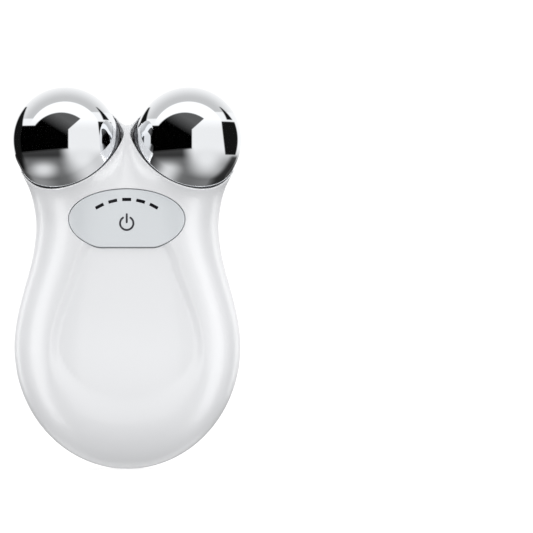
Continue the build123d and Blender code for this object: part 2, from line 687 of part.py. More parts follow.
def frame_screw_places():
    return [(x, z) for x in (-BOSS_X, BOSS_X) for z in (BOSS_LOW_Z, BOSS_HIGH_Z)]


def board_screw_places():
    heights = (BOARD_BOTTOM_Z + STANDOFF_MARGIN, BOARD_TOP_Z - STANDOFF_MARGIN)
    return [(x, z) for x in (-STANDOFF_X, STANDOFF_X) for z in heights]


def make_screws(places, seat_y, grip):
    """Pan-head screws driven towards the back from one seat."""
    screws = []
    for x, z in places:
        head = rod(x, z, seat_y - SCREW_HEAD_HEIGHT, seat_y, SCREW_HEAD_RADIUS)
        shank = rod(x, z, seat_y, seat_y + grip + SCREW_BITE, SCREW_RADIUS)
        socket = rod(x, z, seat_y - SCREW_HEAD_HEIGHT, seat_y - SCREW_HEAD_HEIGHT / 2, SCREW_SOCKET_RADIUS)
        screws.append(head + shank - socket)
    return Part() + screws


def make_board():
    board = slab(BOARD_FRONT_Y, BOARD_BACK_Y, BOARD_HALF_WIDTH, BOARD_BOTTOM_Z, BOARD_TOP_Z)
    board = fillet(board.edges().filter_by(Axis.Y), BOARD_CORNER)
    for x, z in board_screw_places():
        board -= rod(x, z, BOARD_FRONT_Y, BOARD_BACK_Y, SCREW_RADIUS + SCREW_GAP)
    return board


def make_chips():
    """Controller, step-up converter, coil and output stage, on the front of the board."""
    chips = []
    for x, rise, width, height, thickness in CHIPS:
        z = BOARD_BOTTOM_Z + rise
        block = slab(BOARD_FRONT_Y - thickness, BOARD_FRONT_Y, width / 2, z - height / 2, z + height / 2)
        chips.append(Pos(x, 0, 0) * block)
    return Part() + chips


def make_lamps():
    square = Rectangle(LED_SIZE, LED_SIZE)
    spots = [Pos(x, y) * Rot(0, 0, tilt) * square for x, y, tilt in window_places()]
    return prism(Sketch() + spots, PANEL_Z, LED_FRONT_Y, BOARD_FRONT_Y)


def make_switch():
    half = SWITCH_SIZE / 2
    body = slab(SWITCH_FRONT_Y, BOARD_FRONT_Y, half, SWITCH_Z - half, SWITCH_Z + half)
    depth = PLUNGER_IN + 2 * PANEL_TRAVEL
    return body - rod(0, SWITCH_Z, SWITCH_FRONT_Y, SWITCH_FRONT_Y + depth, PLUNGER_RADIUS + PLUNGER_GAP)


def make_plunger():
    return rod(0, SWITCH_Z, PLUNGER_TIP_Y, SWITCH_FRONT_Y + PLUNGER_IN, PLUNGER_RADIUS)


def make_buzzer():
    body = rod(BUZZER_X, BUZZER_Z, BOARD_BACK_Y, BOARD_BACK_Y + BUZZER_HEIGHT, BUZZER_RADIUS)
    hole_y = BOARD_BACK_Y + BUZZER_HEIGHT / 2
    return body - rod(BUZZER_X, BUZZER_Z, hole_y, BOARD_BACK_Y + BUZZER_HEIGHT, BUZZER_HOLE)


def make_cell():
    cell = slab(CELL_FRONT_Y, CELL_BACK_Y, CELL_WIDTH / 2, CELL_BOTTOM_Z, CELL_BOTTOM_Z + CELL_LENGTH)
    return fillet(cell.edges().filter_by(Axis.Z), CELL_CORNER)


def make_pad():
    low = CELL_BOTTOM_Z + (CELL_LENGTH - PAD_LENGTH) / 2
    return slab(CELL_BACK_Y, CELL_BACK_Y + PAD_THICKNESS, PAD_WIDTH / 2, low, low + PAD_LENGTH)


def make_battery_leads():
    """Two wires from the top of the battery through the frame's slot to the back of the board."""
    cell_y = (CELL_FRONT_Y + CELL_BACK_Y) / 2
    cell_top = CELL_BOTTOM_Z + CELL_LENGTH
    leads = []
    for side in (-0.5, 0.5):
        x = side * LEAD_PITCH
        bend_z = cell_top + LEAD_RISE
        points = [(x, cell_y, cell_top), (x, cell_y, bend_z), (x, BOARD_BACK_Y, bend_z)]
        leads.append(wire_run(points))
    return Part() + leads


# ---- charging socket ----
def make_socket():
    """A small receptacle: a drawn shell with a closed back and a contact tongue."""
    shell = socket_slot(0, SOCKET_MOUTH_Z, SOCKET_TOP_Z)
    shell -= socket_slot(-SOCKET_WALL, SOCKET_MOUTH_Z, SOCKET_TOP_Z - 2 * SOCKET_WALL)
    half = TONGUE_THICKNESS / 2
    tongue = slab(-half, half, TONGUE_WIDTH / 2, SOCKET_MOUTH_Z + TONGUE_SETBACK, SOCKET_TOP_Z - SOCKET_WALL)
    return shell + tongue


def make_charge_board():
    low, high = CHARGE_BOARD_BOTTOM_Z, CHARGE_BOARD_TOP_Z
    return slab(SOCKET_HEIGHT / 2, CHARGE_BOARD_BACK_Y, CHARGE_BOARD_WIDTH / 2, low, high)


def make_charge_leads():
    """Four wires from the charging board up to the lower edge of the main board."""
    low_y = SOCKET_HEIGHT / 2 - LEAD_RADIUS - INLAY_GAP
    high_y = BOARD_BACK_Y + LEAD_RADIUS + INLAY_GAP
    leads = []
    for step in range(CHARGE_WIRES):
        x = (step - (CHARGE_WIRES - 1) / 2) * LEAD_PITCH
        points = [
            (x, low_y, CHARGE_BOARD_TOP_Z - LEAD_PAD_DROP),
            (x, low_y, CHARGE_BOARD_TOP_Z + 2 * LEAD_PAD_DROP),
            (x, high_y, BOARD_BOTTOM_Z - 2 * LEAD_PAD_DROP),
            (x, high_y, BOARD_BOTTOM_Z + LEAD_PAD_DROP),
        ]
        leads.append(wire_run(points))
    return Part() + leads


# ---- all pieces ----
def make_parts():
    front, back = make_shells()
    parts = {
        "front_shell": front,
        "back_shell": back,
        "control_panel": make_panel(),
        "indicator_windows": make_windows(),
        "power_icon": make_icon(),
        "light_guide": make_guide(),
        "panel_seal": make_seal(),
        "inner_frame": make_frame(),
        "frame_screws": make_screws(frame_screw_places(), FRAME_FRONT_Y, FRAME_THICKNESS),
        "main_board": make_board(),
        "board_screws": make_screws(board_screw_places(), BOARD_FRONT_Y, BOARD_THICKNESS),
        "board_chips": make_chips(),
        "indicator_lamps": make_lamps(),
        "power_switch": make_switch(),
        "switch_plunger": make_plunger(),
        "buzzer": make_buzzer(),
        "battery_cell": make_cell(),
        "battery_pad": make_pad(),
        "battery_leads": make_battery_leads(),
        "charge_socket": make_socket(),
        "charge_board": make_charge_board(),
        "charge_leads": make_charge_leads(),
    }
    for name, make in (
        ("electrode_cap", make_cap),
        ("electrode_carrier", make_carrier),
        ("sealing_ring", make_ring),
        ("contact_tab", make_tab),
        ("electrode_screw", make_electrode_screw),
        ("electrode_lead", make_electrode_lead),
    ):
        right = make()
        parts[name + "_right"] = right
        parts[name + "_left"] = mirrored(right)
    return parts


def main():
    os.makedirs("parts", exist_ok=True)
    for name, shape in make_parts().items():
        export_step(shape, "parts/" + name + ".step")


main()
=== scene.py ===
"""Looks of a hand-held facial toning device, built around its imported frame.

All form sizes are in millimetres and in the frame's own axes: +Z towards the electrodes, -Y is the
face with the control panel. Meshes are written in metres.
"""

import json
import math

import bpy
import numpy as np
from bpy.props import FloatProperty, FloatVectorProperty, IntProperty, PointerProperty
from mathutils import Euler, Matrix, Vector


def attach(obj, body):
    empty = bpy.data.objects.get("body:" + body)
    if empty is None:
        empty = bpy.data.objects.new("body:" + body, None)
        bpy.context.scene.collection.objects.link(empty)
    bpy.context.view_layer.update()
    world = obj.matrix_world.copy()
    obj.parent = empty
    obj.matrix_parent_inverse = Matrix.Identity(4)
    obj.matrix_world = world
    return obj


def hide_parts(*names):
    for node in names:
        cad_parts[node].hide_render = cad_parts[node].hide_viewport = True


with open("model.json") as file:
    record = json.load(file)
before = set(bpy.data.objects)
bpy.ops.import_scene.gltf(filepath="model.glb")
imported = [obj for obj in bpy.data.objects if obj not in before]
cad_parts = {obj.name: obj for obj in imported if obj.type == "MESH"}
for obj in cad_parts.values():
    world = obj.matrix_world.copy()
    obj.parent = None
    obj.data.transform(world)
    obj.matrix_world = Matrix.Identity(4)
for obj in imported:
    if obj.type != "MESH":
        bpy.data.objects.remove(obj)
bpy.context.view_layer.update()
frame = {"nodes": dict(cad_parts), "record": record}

bl_info = {
    "name": "Facial toning device",
    "version": (1, 0, 0),
    "blender": (4, 5, 0),
    "location": "View3D > Sidebar > Toner",
    "description": "Builds the housing, panel, electrodes and studio of a facial toning device",
    "category": "Object",
}

MM = 0.001

# ---- body form ----
PALM_WIDTH = 68.2
WAIST_WIDTH = 53.2
WAIST_Z = 40.0
GRIP_DROP = 36.9
SADDLE_Z = 65.1
SADDLE_Y = -9.0
PALM_FRONT = 16.0
NECK_FRONT = 19.0
NECK_Z = 46.0
BACK_DEPTH = 14.0
BACK_CROWN = 1.0
BACK_TURN_Z = 44.0
PARTING_TURN_Z = 34.0
PARTING_LEAN = 20.0
SIDE_POWER = 3.2
TIP_POWER = 2.4
NECK_POWER = 2.2
BACK_POWER = 3.0
WALL = 2.0

# ---- electrodes ----
CAP_RADIUS = 15.9
CAP_CENTRE = np.array([18.57, -12.0, 62.3])
CAP_WALL = 0.9
SKIRT_LENGTH = 3.3
SKIRT_END = -0.6
SKIRT_TAPER = 0.12        # how much larger the skirt's radius is at its lower end
SKIRT_STEPS = 5
CAP_EDGE = 0.2            # radius of the skirt's rounded lower edge
CAP_EDGE_STEPS = 4
DOME_STEPS = 48
INNER_DOME_SKIP = 4       # the hidden inner dome has one step for this many outer ones
SPLAY = math.radians(30.0)
LEAN = math.radians(42.0)
CAP_AXIS = np.array(
    [math.sin(SPLAY) * math.cos(LEAN), -math.sin(LEAN), math.cos(SPLAY) * math.cos(LEAN)]
)
CAP_ACROSS = np.array([math.cos(SPLAY), 0.0, -math.sin(SPLAY)])
RIM_CENTRE = CAP_CENTRE - CAP_AXIS * SKIRT_LENGTH
LIP_WIDTH = 0.4
RIM_GAP = 0.2             # between the cap and the lip
RING_GAP = 0.02           # between the sealing ring and the lip
RIM_RADIUS = CAP_RADIUS + RIM_GAP + LIP_WIDTH
REBATE_DEPTH = 1.2
LEDGE_THICKNESS = 1.6
LEDGE_RADIUS = 12.6
EAR_ROOT = np.array([10.8, -0.8, 33.0])
EAR_ROOT_RADIUS = 14.6
EAR_REACH = 10.0
EAR_RISE = 9.0
EAR_SAMPLES = 40
EAR_ROUNDS = 4            # steps from the nearest sample to the nearest point
EAR_OVERRUN = 3.0         # ear past its rim, before it is cut

# ---- palm scoop ----
SCOOP_HALF_WIDTH = 22.0
SCOOP_NECK_WIDTH = 13.5
SCOOP_NECK_Z = 32.0
SCOOP_DROP = 21.5
SCOOP_TOP_Z = 36.0
SCOOP_TURN_Z = 26.0
SCOOP_DEPTH = 1.0
SCOOP_FADE = 6.0          # the scoop ends this far in front of the middle plane
SCOOP_FLARE = 3.5         # how much wider its slope is at the lower end

# ---- control panel ----
PANEL_Z = 38.5
PANEL_HALF_WIDTH = 17.4
PANEL_RISE = 8.9
PANEL_FALL = 9.8
PANEL_FLAT = 8.5
PANEL_GAP = 0.25
PLATE_SPREAD = 0.04       # how far the plate reaches past its solid, all round
PLATE_MARGIN = 3.0        # skin kept around the plate while its edge is worked out
PANEL_CORNER = 0.5
PANEL_PROUD = 0.2
PANEL_THICKNESS = 2.2
WINDOW_COUNT = 5
WINDOW_ARC_RADIUS = 17.6
WINDOW_ARC_STEP = 13.8
WINDOW_ARC_RISE = 5.85
WINDOW_LENGTH = 2.7
WINDOW_WIDTH = 0.95
WINDOW_ROUNDING = 0.12
WINDOW_DEPTH = 1.0
WINDOW_RISE = 0.14        # face of the windows above the body
ICON_DROP = 1.3
ICON_RADIUS = 2.3
ICON_STROKE = 0.6
ICON_BAR_TOP = 1.7
ICON_GAP_ANGLE = math.radians(34.0)
ICON_DEPTH = 0.5
ICON_RISE = 0.18          # face of the power mark above the body
INLAY_GAP = 0.04
INLAY_FILLET = 0.03

# ---- charging socket ----
SOCKET_WIDTH = 8.94
SOCKET_HEIGHT = 3.26
SOCKET_GAP = 0.15
SOCKET_FAR = 5.0          # least distance from the socket's mouth on the upper half

# ---- edges and skin ----
HOUSING_FILLETS = {"seam": 0.18, "rim": 0.34, "aperture": 0.2, "socket": 0.3}
PANEL_FILLETS = {"edge": 0.3, "window": 0.05, "mark": 0.03}
CUTS = ("seam", "rim", "aperture", "socket", "edge", "window", "mark")
FILLET_STEPS = 3
WALL_STEPS = (0.2, 0.4, 0.6, 0.8, 1.0)
GRID_MARGIN = 2.0
GRID_FRONT_Y = -27.0
GRID_TOP_Z = 80.0
RELAX_ROUNDS = 4
EDGE_REACH = 1.2          # refined beside rims and aperture, in mesh steps
SOCKET_REACH = 1.5        # and beside the socket
PLATE_REACH = 1.5         # refined beside the plate's edge, in millimetres
INLAY_REACH = 1.2         # and beside its inlays
REFINE_BEHIND = 9.0       # keeps refining at the panel's outline off the back
OFF_FRONT = -9.0          # height of a front-only field behind the middle plane
CUT_BEHIND = 99.0         # keeps the aperture's cut off the back
BLEND_ANGLE = math.radians(35)
LATHE_ANGLE = math.radians(40)

# ---- search for the surface ----
LEAST_INSET = -8.0
MOST_INSET = 12.0
HALVINGS = 9
CROSSINGS = 3
LEAST_SLOPE = 0.05        # squared slope below which a step grows no longer
LEAST_CURVE_SLOPE = 0.2   # and the same along a cut
LONGEST_STEP = 0.3
SNAP_SHARE = 0.2          # points this near to a cut are moved on to it
FAR = 1e3
TINY = 1e-9

# ---- studio ----
FRONT_PIECES = ("housing_front", "control_plate")
BACK_PIECES = ("housing_back",)
LIGHT_TARGET = (0.0, 0.0, 0.02)  # in metres, as all of this section's sizes
LIGHT_RANGE = 1.0
# name, lit pieces, turn about Z from the front, rise (degrees), width, height, brightness
SOFT_PANELS = (
    ("front_panel", FRONT_PIECES, 0.0, 3.0, 0.4, 1.0, 3.9),
    ("right_strip", FRONT_PIECES, 52.0, -4.0, 0.42, 1.6, 5.6),
    ("left_strip", FRONT_PIECES, -52.0, -4.0, 0.42, 1.6, 5.6),
    ("right_rim", FRONT_PIECES, 127.0, 10.0, 0.4, 1.1, 2.8),
    ("left_rim", FRONT_PIECES, -127.0, 10.0, 0.4, 1.1, 2.8),
    ("back_right_strip", BACK_PIECES, 127.0, 6.0, 0.36, 1.3, 5.2),
    ("back_left_strip", BACK_PIECES, -127.0, 6.0, 0.36, 1.3, 5.2),
    ("back_right_rim", BACK_PIECES, 50.0, 0.0, 0.4, 1.2, 1.0),
    ("back_left_rim", BACK_PIECES, -50.0, 0.0, 0.4, 1.2, 1.0),
    ("back_panel", BACK_PIECES, 180.0, 14.0, 0.9, 1.0, 0.9),
    ("under_panel", FRONT_PIECES + BACK_PIECES, 180.0, -52.0, 1.4, 0.8, 1.4),
)
# soft pools on the wall: brightness, place across and up, stretch, radius and softness,
# in shares of a ball's radius as the ball shows them
LIGHT_POOLS = (
    (0.8, -0.41, -0.56, 1.3, 0.19, 0.17),
    (0.92, 0.34, -0.34, 0.9, 0.26, 0.22),
)
SOFTBOX_RADIUS = 0.72     # in shares of a ball's radius
FLAG_LIGHT = 0.008        # brightness of the dark flags
LEAST_SPREAD = 1e-4
SOFT_LEVEL = 0.89         # light on matt surfaces, level with the device
SOFT_RISE = 0.44          # and how much more comes from above
SOFT_TURN = 0.06          # and how much more from the front
BACKDROP = 1.1            # brightness of the background
FLOOR_DROP = 0.05         # floor below the tip, in millimetres
SENSOR_WIDTH = 36.0       # in millimetres
VIEW_WIDTH = 0.16046      # width of the view at the depth of the electrodes
VIEW_CENTRE = (0.042, -0.012, 0.0242)
CLIP_NEAR = 0.1
CLIP_FAR = 20.0


# ---- settings ----
LENGTH = {"subtype": "DISTANCE", "unit": "LENGTH"}
COLOUR = {"size": 3, "min": 0.0, "max": 1.0, "subtype": "COLOR"}


class HousingSettings(bpy.types.PropertyGroup):
    mesh_step: FloatProperty(
        name="Mesh step",
        description="Distance between the points of the housing's skin",
        default=1.1 * MM,
        min=0.4 * MM,
        max=3.0 * MM,
        precision=4,
        **LENGTH,
    )
    ear_blend: FloatProperty(
        name="Ear blend",
        description="How far the ears flow into the body",
        default=7.0 * MM,
        min=0.5 * MM,
        max=15.0 * MM,
        precision=4,
        **LENGTH,
    )
    back_rounding: FloatProperty(
        name="Back rounding",
        description="Softness of the edge around the flat back",
        default=4.0 * MM,
        min=0.2 * MM,
        max=8.0 * MM,
        precision=4,
        **LENGTH,
    )
    scoop_slope: FloatProperty(
        name="Scoop slope",
        description="Width of the soft slope around the thumb scoop",
        default=3.4 * MM,
        min=0.5 * MM,
        max=10.0 * MM,
        precision=4,
        **LENGTH,
    )
    seam_gap: FloatProperty(
        name="Seam gap",
        description="Gap between the two shells",
        default=0.08 * MM,
        min=0.0,
        max=0.5 * MM,
        precision=5,
        **LENGTH,
    )
    colour: FloatVectorProperty(
        name="Plastic colour",
        description="Colour of the glossy shells",
        default=(0.803, 0.811, 0.829),
        **COLOUR,
    )


class PanelSettings(bpy.types.PropertyGroup):
    colour: FloatVectorProperty(
        name="Panel colour",
        description="Colour of the satin control panel",
        default=(0.66, 0.69, 0.715),
        **COLOUR,
    )
    window_colour: FloatVectorProperty(
        name="Window colour",
        description="Colour of the unlit indicator windows",
        default=(0.012, 0.012, 0.015),
        **COLOUR,
    )
    mark_colour: FloatVectorProperty(
        name="Mark colour",
        description="Colour of the inlaid power mark",
        default=(0.045, 0.045, 0.055),
        **COLOUR,
    )


class ElectrodeSettings(bpy.types.PropertyGroup):
    colour: FloatVectorProperty(
        name="Chrome colour",
        description="Colour of the plated caps",
        default=(0.86, 0.875, 0.895),
        **COLOUR,
    )
    segments: IntProperty(
        name="Segments",
        description="Steps around each cap",
        default=128,
        min=32,
        max=512,
    )


class StageSettings(bpy.types.PropertyGroup):
    floor_size: FloatProperty(
        name="Floor size",
        description="Width of the pale floor",
        default=6.0,
        min=0.5,
        max=50.0,
        **LENGTH,
    )
    lens: FloatProperty(
        name="Lens",
        description="Focal length of the camera in millimetres",
        default=800.0,
        min=50.0,
        max=2000.0,
    )


# ---- form of the body ----
def ease(share):
    share = np.clip(share, 0.0, 1.0)
    return share * share * (3.0 - 2.0 * share)


def dome(share, power=2.0):
    return np.maximum(0.0, 1.0 - np.minimum(1.0, np.abs(share)) ** power) ** (1.0 / power)


def body_extents(z, inset):
    """Half width, front, parting line and back of the body at each height."""
    top = SADDLE_Z - inset
    drop = np.minimum(z, 0.0) / (GRIP_DROP - inset)
    half = PALM_WIDTH / 2 - (PALM_WIDTH - WAIST_WIDTH) / 2 * ease(z / WAIST_Z) - inset
    half = half * dome(drop) * dome(np.maximum(z - WAIST_Z, 0.0) / (top - WAIST_Z), NECK_POWER)
    front = PALM_FRONT + (NECK_FRONT - PALM_FRONT) * ease(z / NECK_Z) - inset
    back = BACK_DEPTH + BACK_CROWN - inset
    tip = dome(drop, TIP_POWER)
    front_turn = dome(np.maximum(z - NECK_Z, 0.0) / (top - NECK_Z))
    back_turn = dome(np.maximum(z - BACK_TURN_Z, 0.0) / (top - BACK_TURN_Z), BACK_POWER)
    front_y = np.where(z > NECK_Z, SADDLE_Y - (front + SADDLE_Y) * front_turn, -front * tip)
    back_y = np.where(z > BACK_TURN_Z, SADDLE_Y + (back - SADDLE_Y) * back_turn, back * tip)
    middle = SADDLE_Y * ease((z - PARTING_TURN_Z) / PARTING_LEAN)
    return half, front_y, middle, back_y


def core_reach(points, inset):
    """Above 0 outside the body made smaller by the inset, below 0 inside it."""
    x, y, z = points.T
    half, front, middle, back = body_extents(z, inset)
    depth = np.where(y > middle, back - middle, middle - front)
    across = np.abs(x) / np.maximum(half, TINY)
    along = np.abs(y - middle) / np.maximum(depth, TINY)
    total = np.minimum(across, FAR) ** SIDE_POWER + np.minimum(along, FAR) ** SIDE_POWER
    return total ** (1.0 / SIDE_POWER) - 1.0


def crossing_inset(points, low, high):
    """The inset between two others at which a straight line through their reaches is 0."""
    reach_low = core_reach(points, low)
    reach_high = core_reach(points, high)
    share = np.clip(-reach_low / np.maximum(reach_high - reach_low, TINY), 0.0, 1.0)
    return low + (high - low) * share


def core_gap(points):
    """Signed distance from the core of the body: minus the inset that puts the point on it."""
    low = np.full(len(points), LEAST_INSET)
    high = np.full(len(points), MOST_INSET)
    for _ in range(HALVINGS):
        middle = (low + high) / 2
        outside = core_reach(points, middle) > 0
        high = np.where(outside, middle, high)
        low = np.where(outside, low, middle)
    for _ in range(CROSSINGS):
        guess = crossing_inset(points, low, high)
        outside = core_reach(points, guess) > 0
        high = np.where(outside, guess, high)
        low = np.where(outside, low, guess)
    return -crossing_inset(points, low, high)


def sided(vector, side):
    """A place or direction of the right side, or its mirror image for side -1."""
    return vector * np.array([side, 1.0, 1.0])


def rim_height(points, side):
    """Height above the plane of one ear's rim."""
    return (points - sided(RIM_CENTRE, side)) @ sided(CAP_AXIS, side)


def ear_gap(points, side):
    """Signed distance from one bent, tapered ear."""
    root = EAR_ROOT
    knots = [RIM_CENTRE, RIM_CENTRE - CAP_AXIS * EAR_REACH, root + (0, 0, EAR_RISE), root]
    knots = [sided(knot, side) for knot in knots]
    share = np.linspace(0.0, 1.0, EAR_SAMPLES)
    line = bezier(knots, share)
    square = (points**2).sum(1)[:, None] + (line**2).sum(1)[None, :] - 2 * points @ line.T
    best = share[square.argmin(1)]
    for _ in range(EAR_ROUNDS):
        offset = bezier(knots, best) - points
        heading = bezier_slope(knots, best)
        bend = bezier_bend(knots, best)
        slope = (offset * heading).sum(1)
        steepness = (heading**2).sum(1) + (offset * bend).sum(1)
        best = np.clip(best - slope / np.maximum(steepness, 1.0), 0.0, 1.0)
    distance = np.linalg.norm(bezier(knots, best) - points, axis=1)
    radius = RIM_RADIUS + (EAR_ROOT_RADIUS - RIM_RADIUS) * ease(best)
    height = rim_height(points, side)
    spoke = points - sided(RIM_CENTRE, side) - height[:, None] * sided(CAP_AXIS, side)
    straight = np.linalg.norm(spoke, axis=1) - RIM_RADIUS
    return np.where(height > 0, straight, distance - radius)


def bezier(knots, share):
    t = np.asarray(share)[:, None]
    u = 1.0 - t
    return knots[0] * u**3 + knots[1] * 3 * u * u * t + knots[2] * 3 * u * t * t + knots[3] * t**3


def bezier_slope(knots, share):
    t = np.asarray(share)[:, None]
    u = 1.0 - t
    first, second, third = (b - a for a, b in zip(knots, knots[1:]))
    return 3 * (first * u * u + second * 2 * u * t + third * t * t)


def bezier_bend(knots, share):
    t = np.asarray(share)[:, None]
    first, second, third = (b - a for a, b in zip(knots, knots[1:]))
    return 6 * ((second - first) * (1.0 - t) + (third - second) * t)


def scoop_gap(points):
    """Signed distance from the scoop's outline, seen from the front. Below 0 inside it."""
    x, z = points[:, 0], points[:, 2]
    half = SCOOP_HALF_WIDTH - (SCOOP_HALF_WIDTH - SCOOP_NECK_WIDTH) * ease(z / SCOOP_NECK_Z)
    rise = np.where(z > 0, SCOOP_TOP_Z - SCOOP_TURN_Z, SCOOP_DROP)
    along = np.where(z > 0, np.maximum(z - SCOOP_TURN_Z, 0.0), z) / rise
    across = x / half
    first = np.sqrt(across**2 + along**2)
    second = np.sqrt((across / half) ** 2 + (along / rise) ** 2)
    return first * (first - 1.0) / np.maximum(second, TINY)


def join_softly(a, b, reach):
    """The smaller of two distances, with a smooth turn of the given reach."""
    overlap = np.maximum(reach - np.abs(a - b), 0.0) / reach
    return np.minimum(a, b) - overlap**3 * reach / 6.0


def cut_softly(a, b, reach):
    return -join_softly(-a, -b, reach)


def scoop_depth(points, slope_width):
    """How deep the scoop is at each point: flat inside, with a slope that widens downwards."""
    width = slope_width * (1.0 + SCOOP_FLARE * ease(-points[:, 2] / SCOOP_DROP))
    inward = ease(0.5 - scoop_gap(points) / width)
    return SCOOP_DEPTH * inward * ease(-points[:, 1] / SCOOP_FADE)


def body_gap(points, blends, scooped=True):
    """Signed distance from the whole body: core, ears, flat back and scoop."""
    ear_blend, back_rounding, scoop_slope = blends
    gap = core_gap(points)
    for side in (1, -1):
        gap = join_softly(gap, ear_gap(points, side), ear_blend)
    gap = cut_softly(gap, points[:, 1] - BACK_DEPTH, back_rounding)
    if scooped:
        gap = gap + scoop_depth(points, scoop_slope)
    return gap


def gradient(field, points, reach=0.02):
    """Slope of a field at each point, by central differences."""
    slopes = []
    for axis in range(3):
        step = np.zeros(3)
        step[axis] = reach
        slopes.append((field(points + step) - field(points - step)) / (2 * reach))
    return np.stack(slopes, axis=1)


def unit(vectors):
    return vectors / np.maximum(np.linalg.norm(vectors, axis=1, keepdims=True), TINY)


def settle(field, points, rounds=2):
    """Moves points on to the surface where the field is 0."""
    for _ in range(rounds):
        slope = gradient(field, points)
        square = np.maximum((slope**2).sum(1), LEAST_SLOPE)
        points = points - slope * (field(points) / square)[:, None]
    return points


# ---- mesh tools ----
def net_mesh(values, origin, step):
    """Quads around the cells where a field on a grid changes sign."""
    inside = values < 0
    shape = tuple(size - 1 for size in values.shape)
    corners = np.zeros(shape, int)
    for i in (0, 1):
        for j in (0, 1):
            for k in (0, 1):
                corners += inside[i : i + shape[0], j : j + shape[1], k : k + shape[2]]
    busy = (corners > 0) & (corners < 8)
    number = np.full(shape, -1)
    number[busy] = np.arange(busy.sum())
    points = origin + (np.argwhere(busy) + 0.5) * step
    quads = []
    for axis in range(3):
        others = [a for a in range(3) if a != axis]
        start = [slice(1, -1)] * 3
        stop = [slice(1, -1)] * 3
        start[axis] = slice(0, -1)
        stop[axis] = slice(1, None)
        begin = inside[tuple(start)]
        end = inside[tuple(stop)]
        for crossing, turned in ((begin & ~end, False), (end & ~begin, True)):
            base = np.argwhere(crossing)
            base[:, others] += 1
            ring = []
            for first, second in ((-1, -1), (0, -1), (0, 0), (-1, 0)):
                cell = base.copy()
                cell[:, others[0]] += first
                cell[:, others[1]] += second
                ring.append(number[cell[:, 0], cell[:, 1], cell[:, 2]])
            if turned != (axis == 1):
                ring.reverse()
            quads.append(np.stack(ring, axis=1))
    return points, np.concatenate(quads)


def face_edges(faces):
    """Sorted end points of every face's edges, face after face."""
    return np.sort(faces[:, [[0, 1], [1, 2], [2, 0]]].reshape(-1, 2), axis=1)


def relax(points, edges, field, rounds):
    """Evens out the spacing of the points over the surface."""
    count = np.zeros(len(points))
    np.add.at(count, edges.ravel(), 1.0)
    for _ in range(rounds):
        total = np.zeros_like(points)
        np.add.at(total, edges[:, 0], points[edges[:, 1]])
        np.add.at(total, edges[:, 1], points[edges[:, 0]])
        mean = total / np.maximum(count, 1.0)[:, None]
        points = settle(field, (points + mean) / 2, 1)
    return points


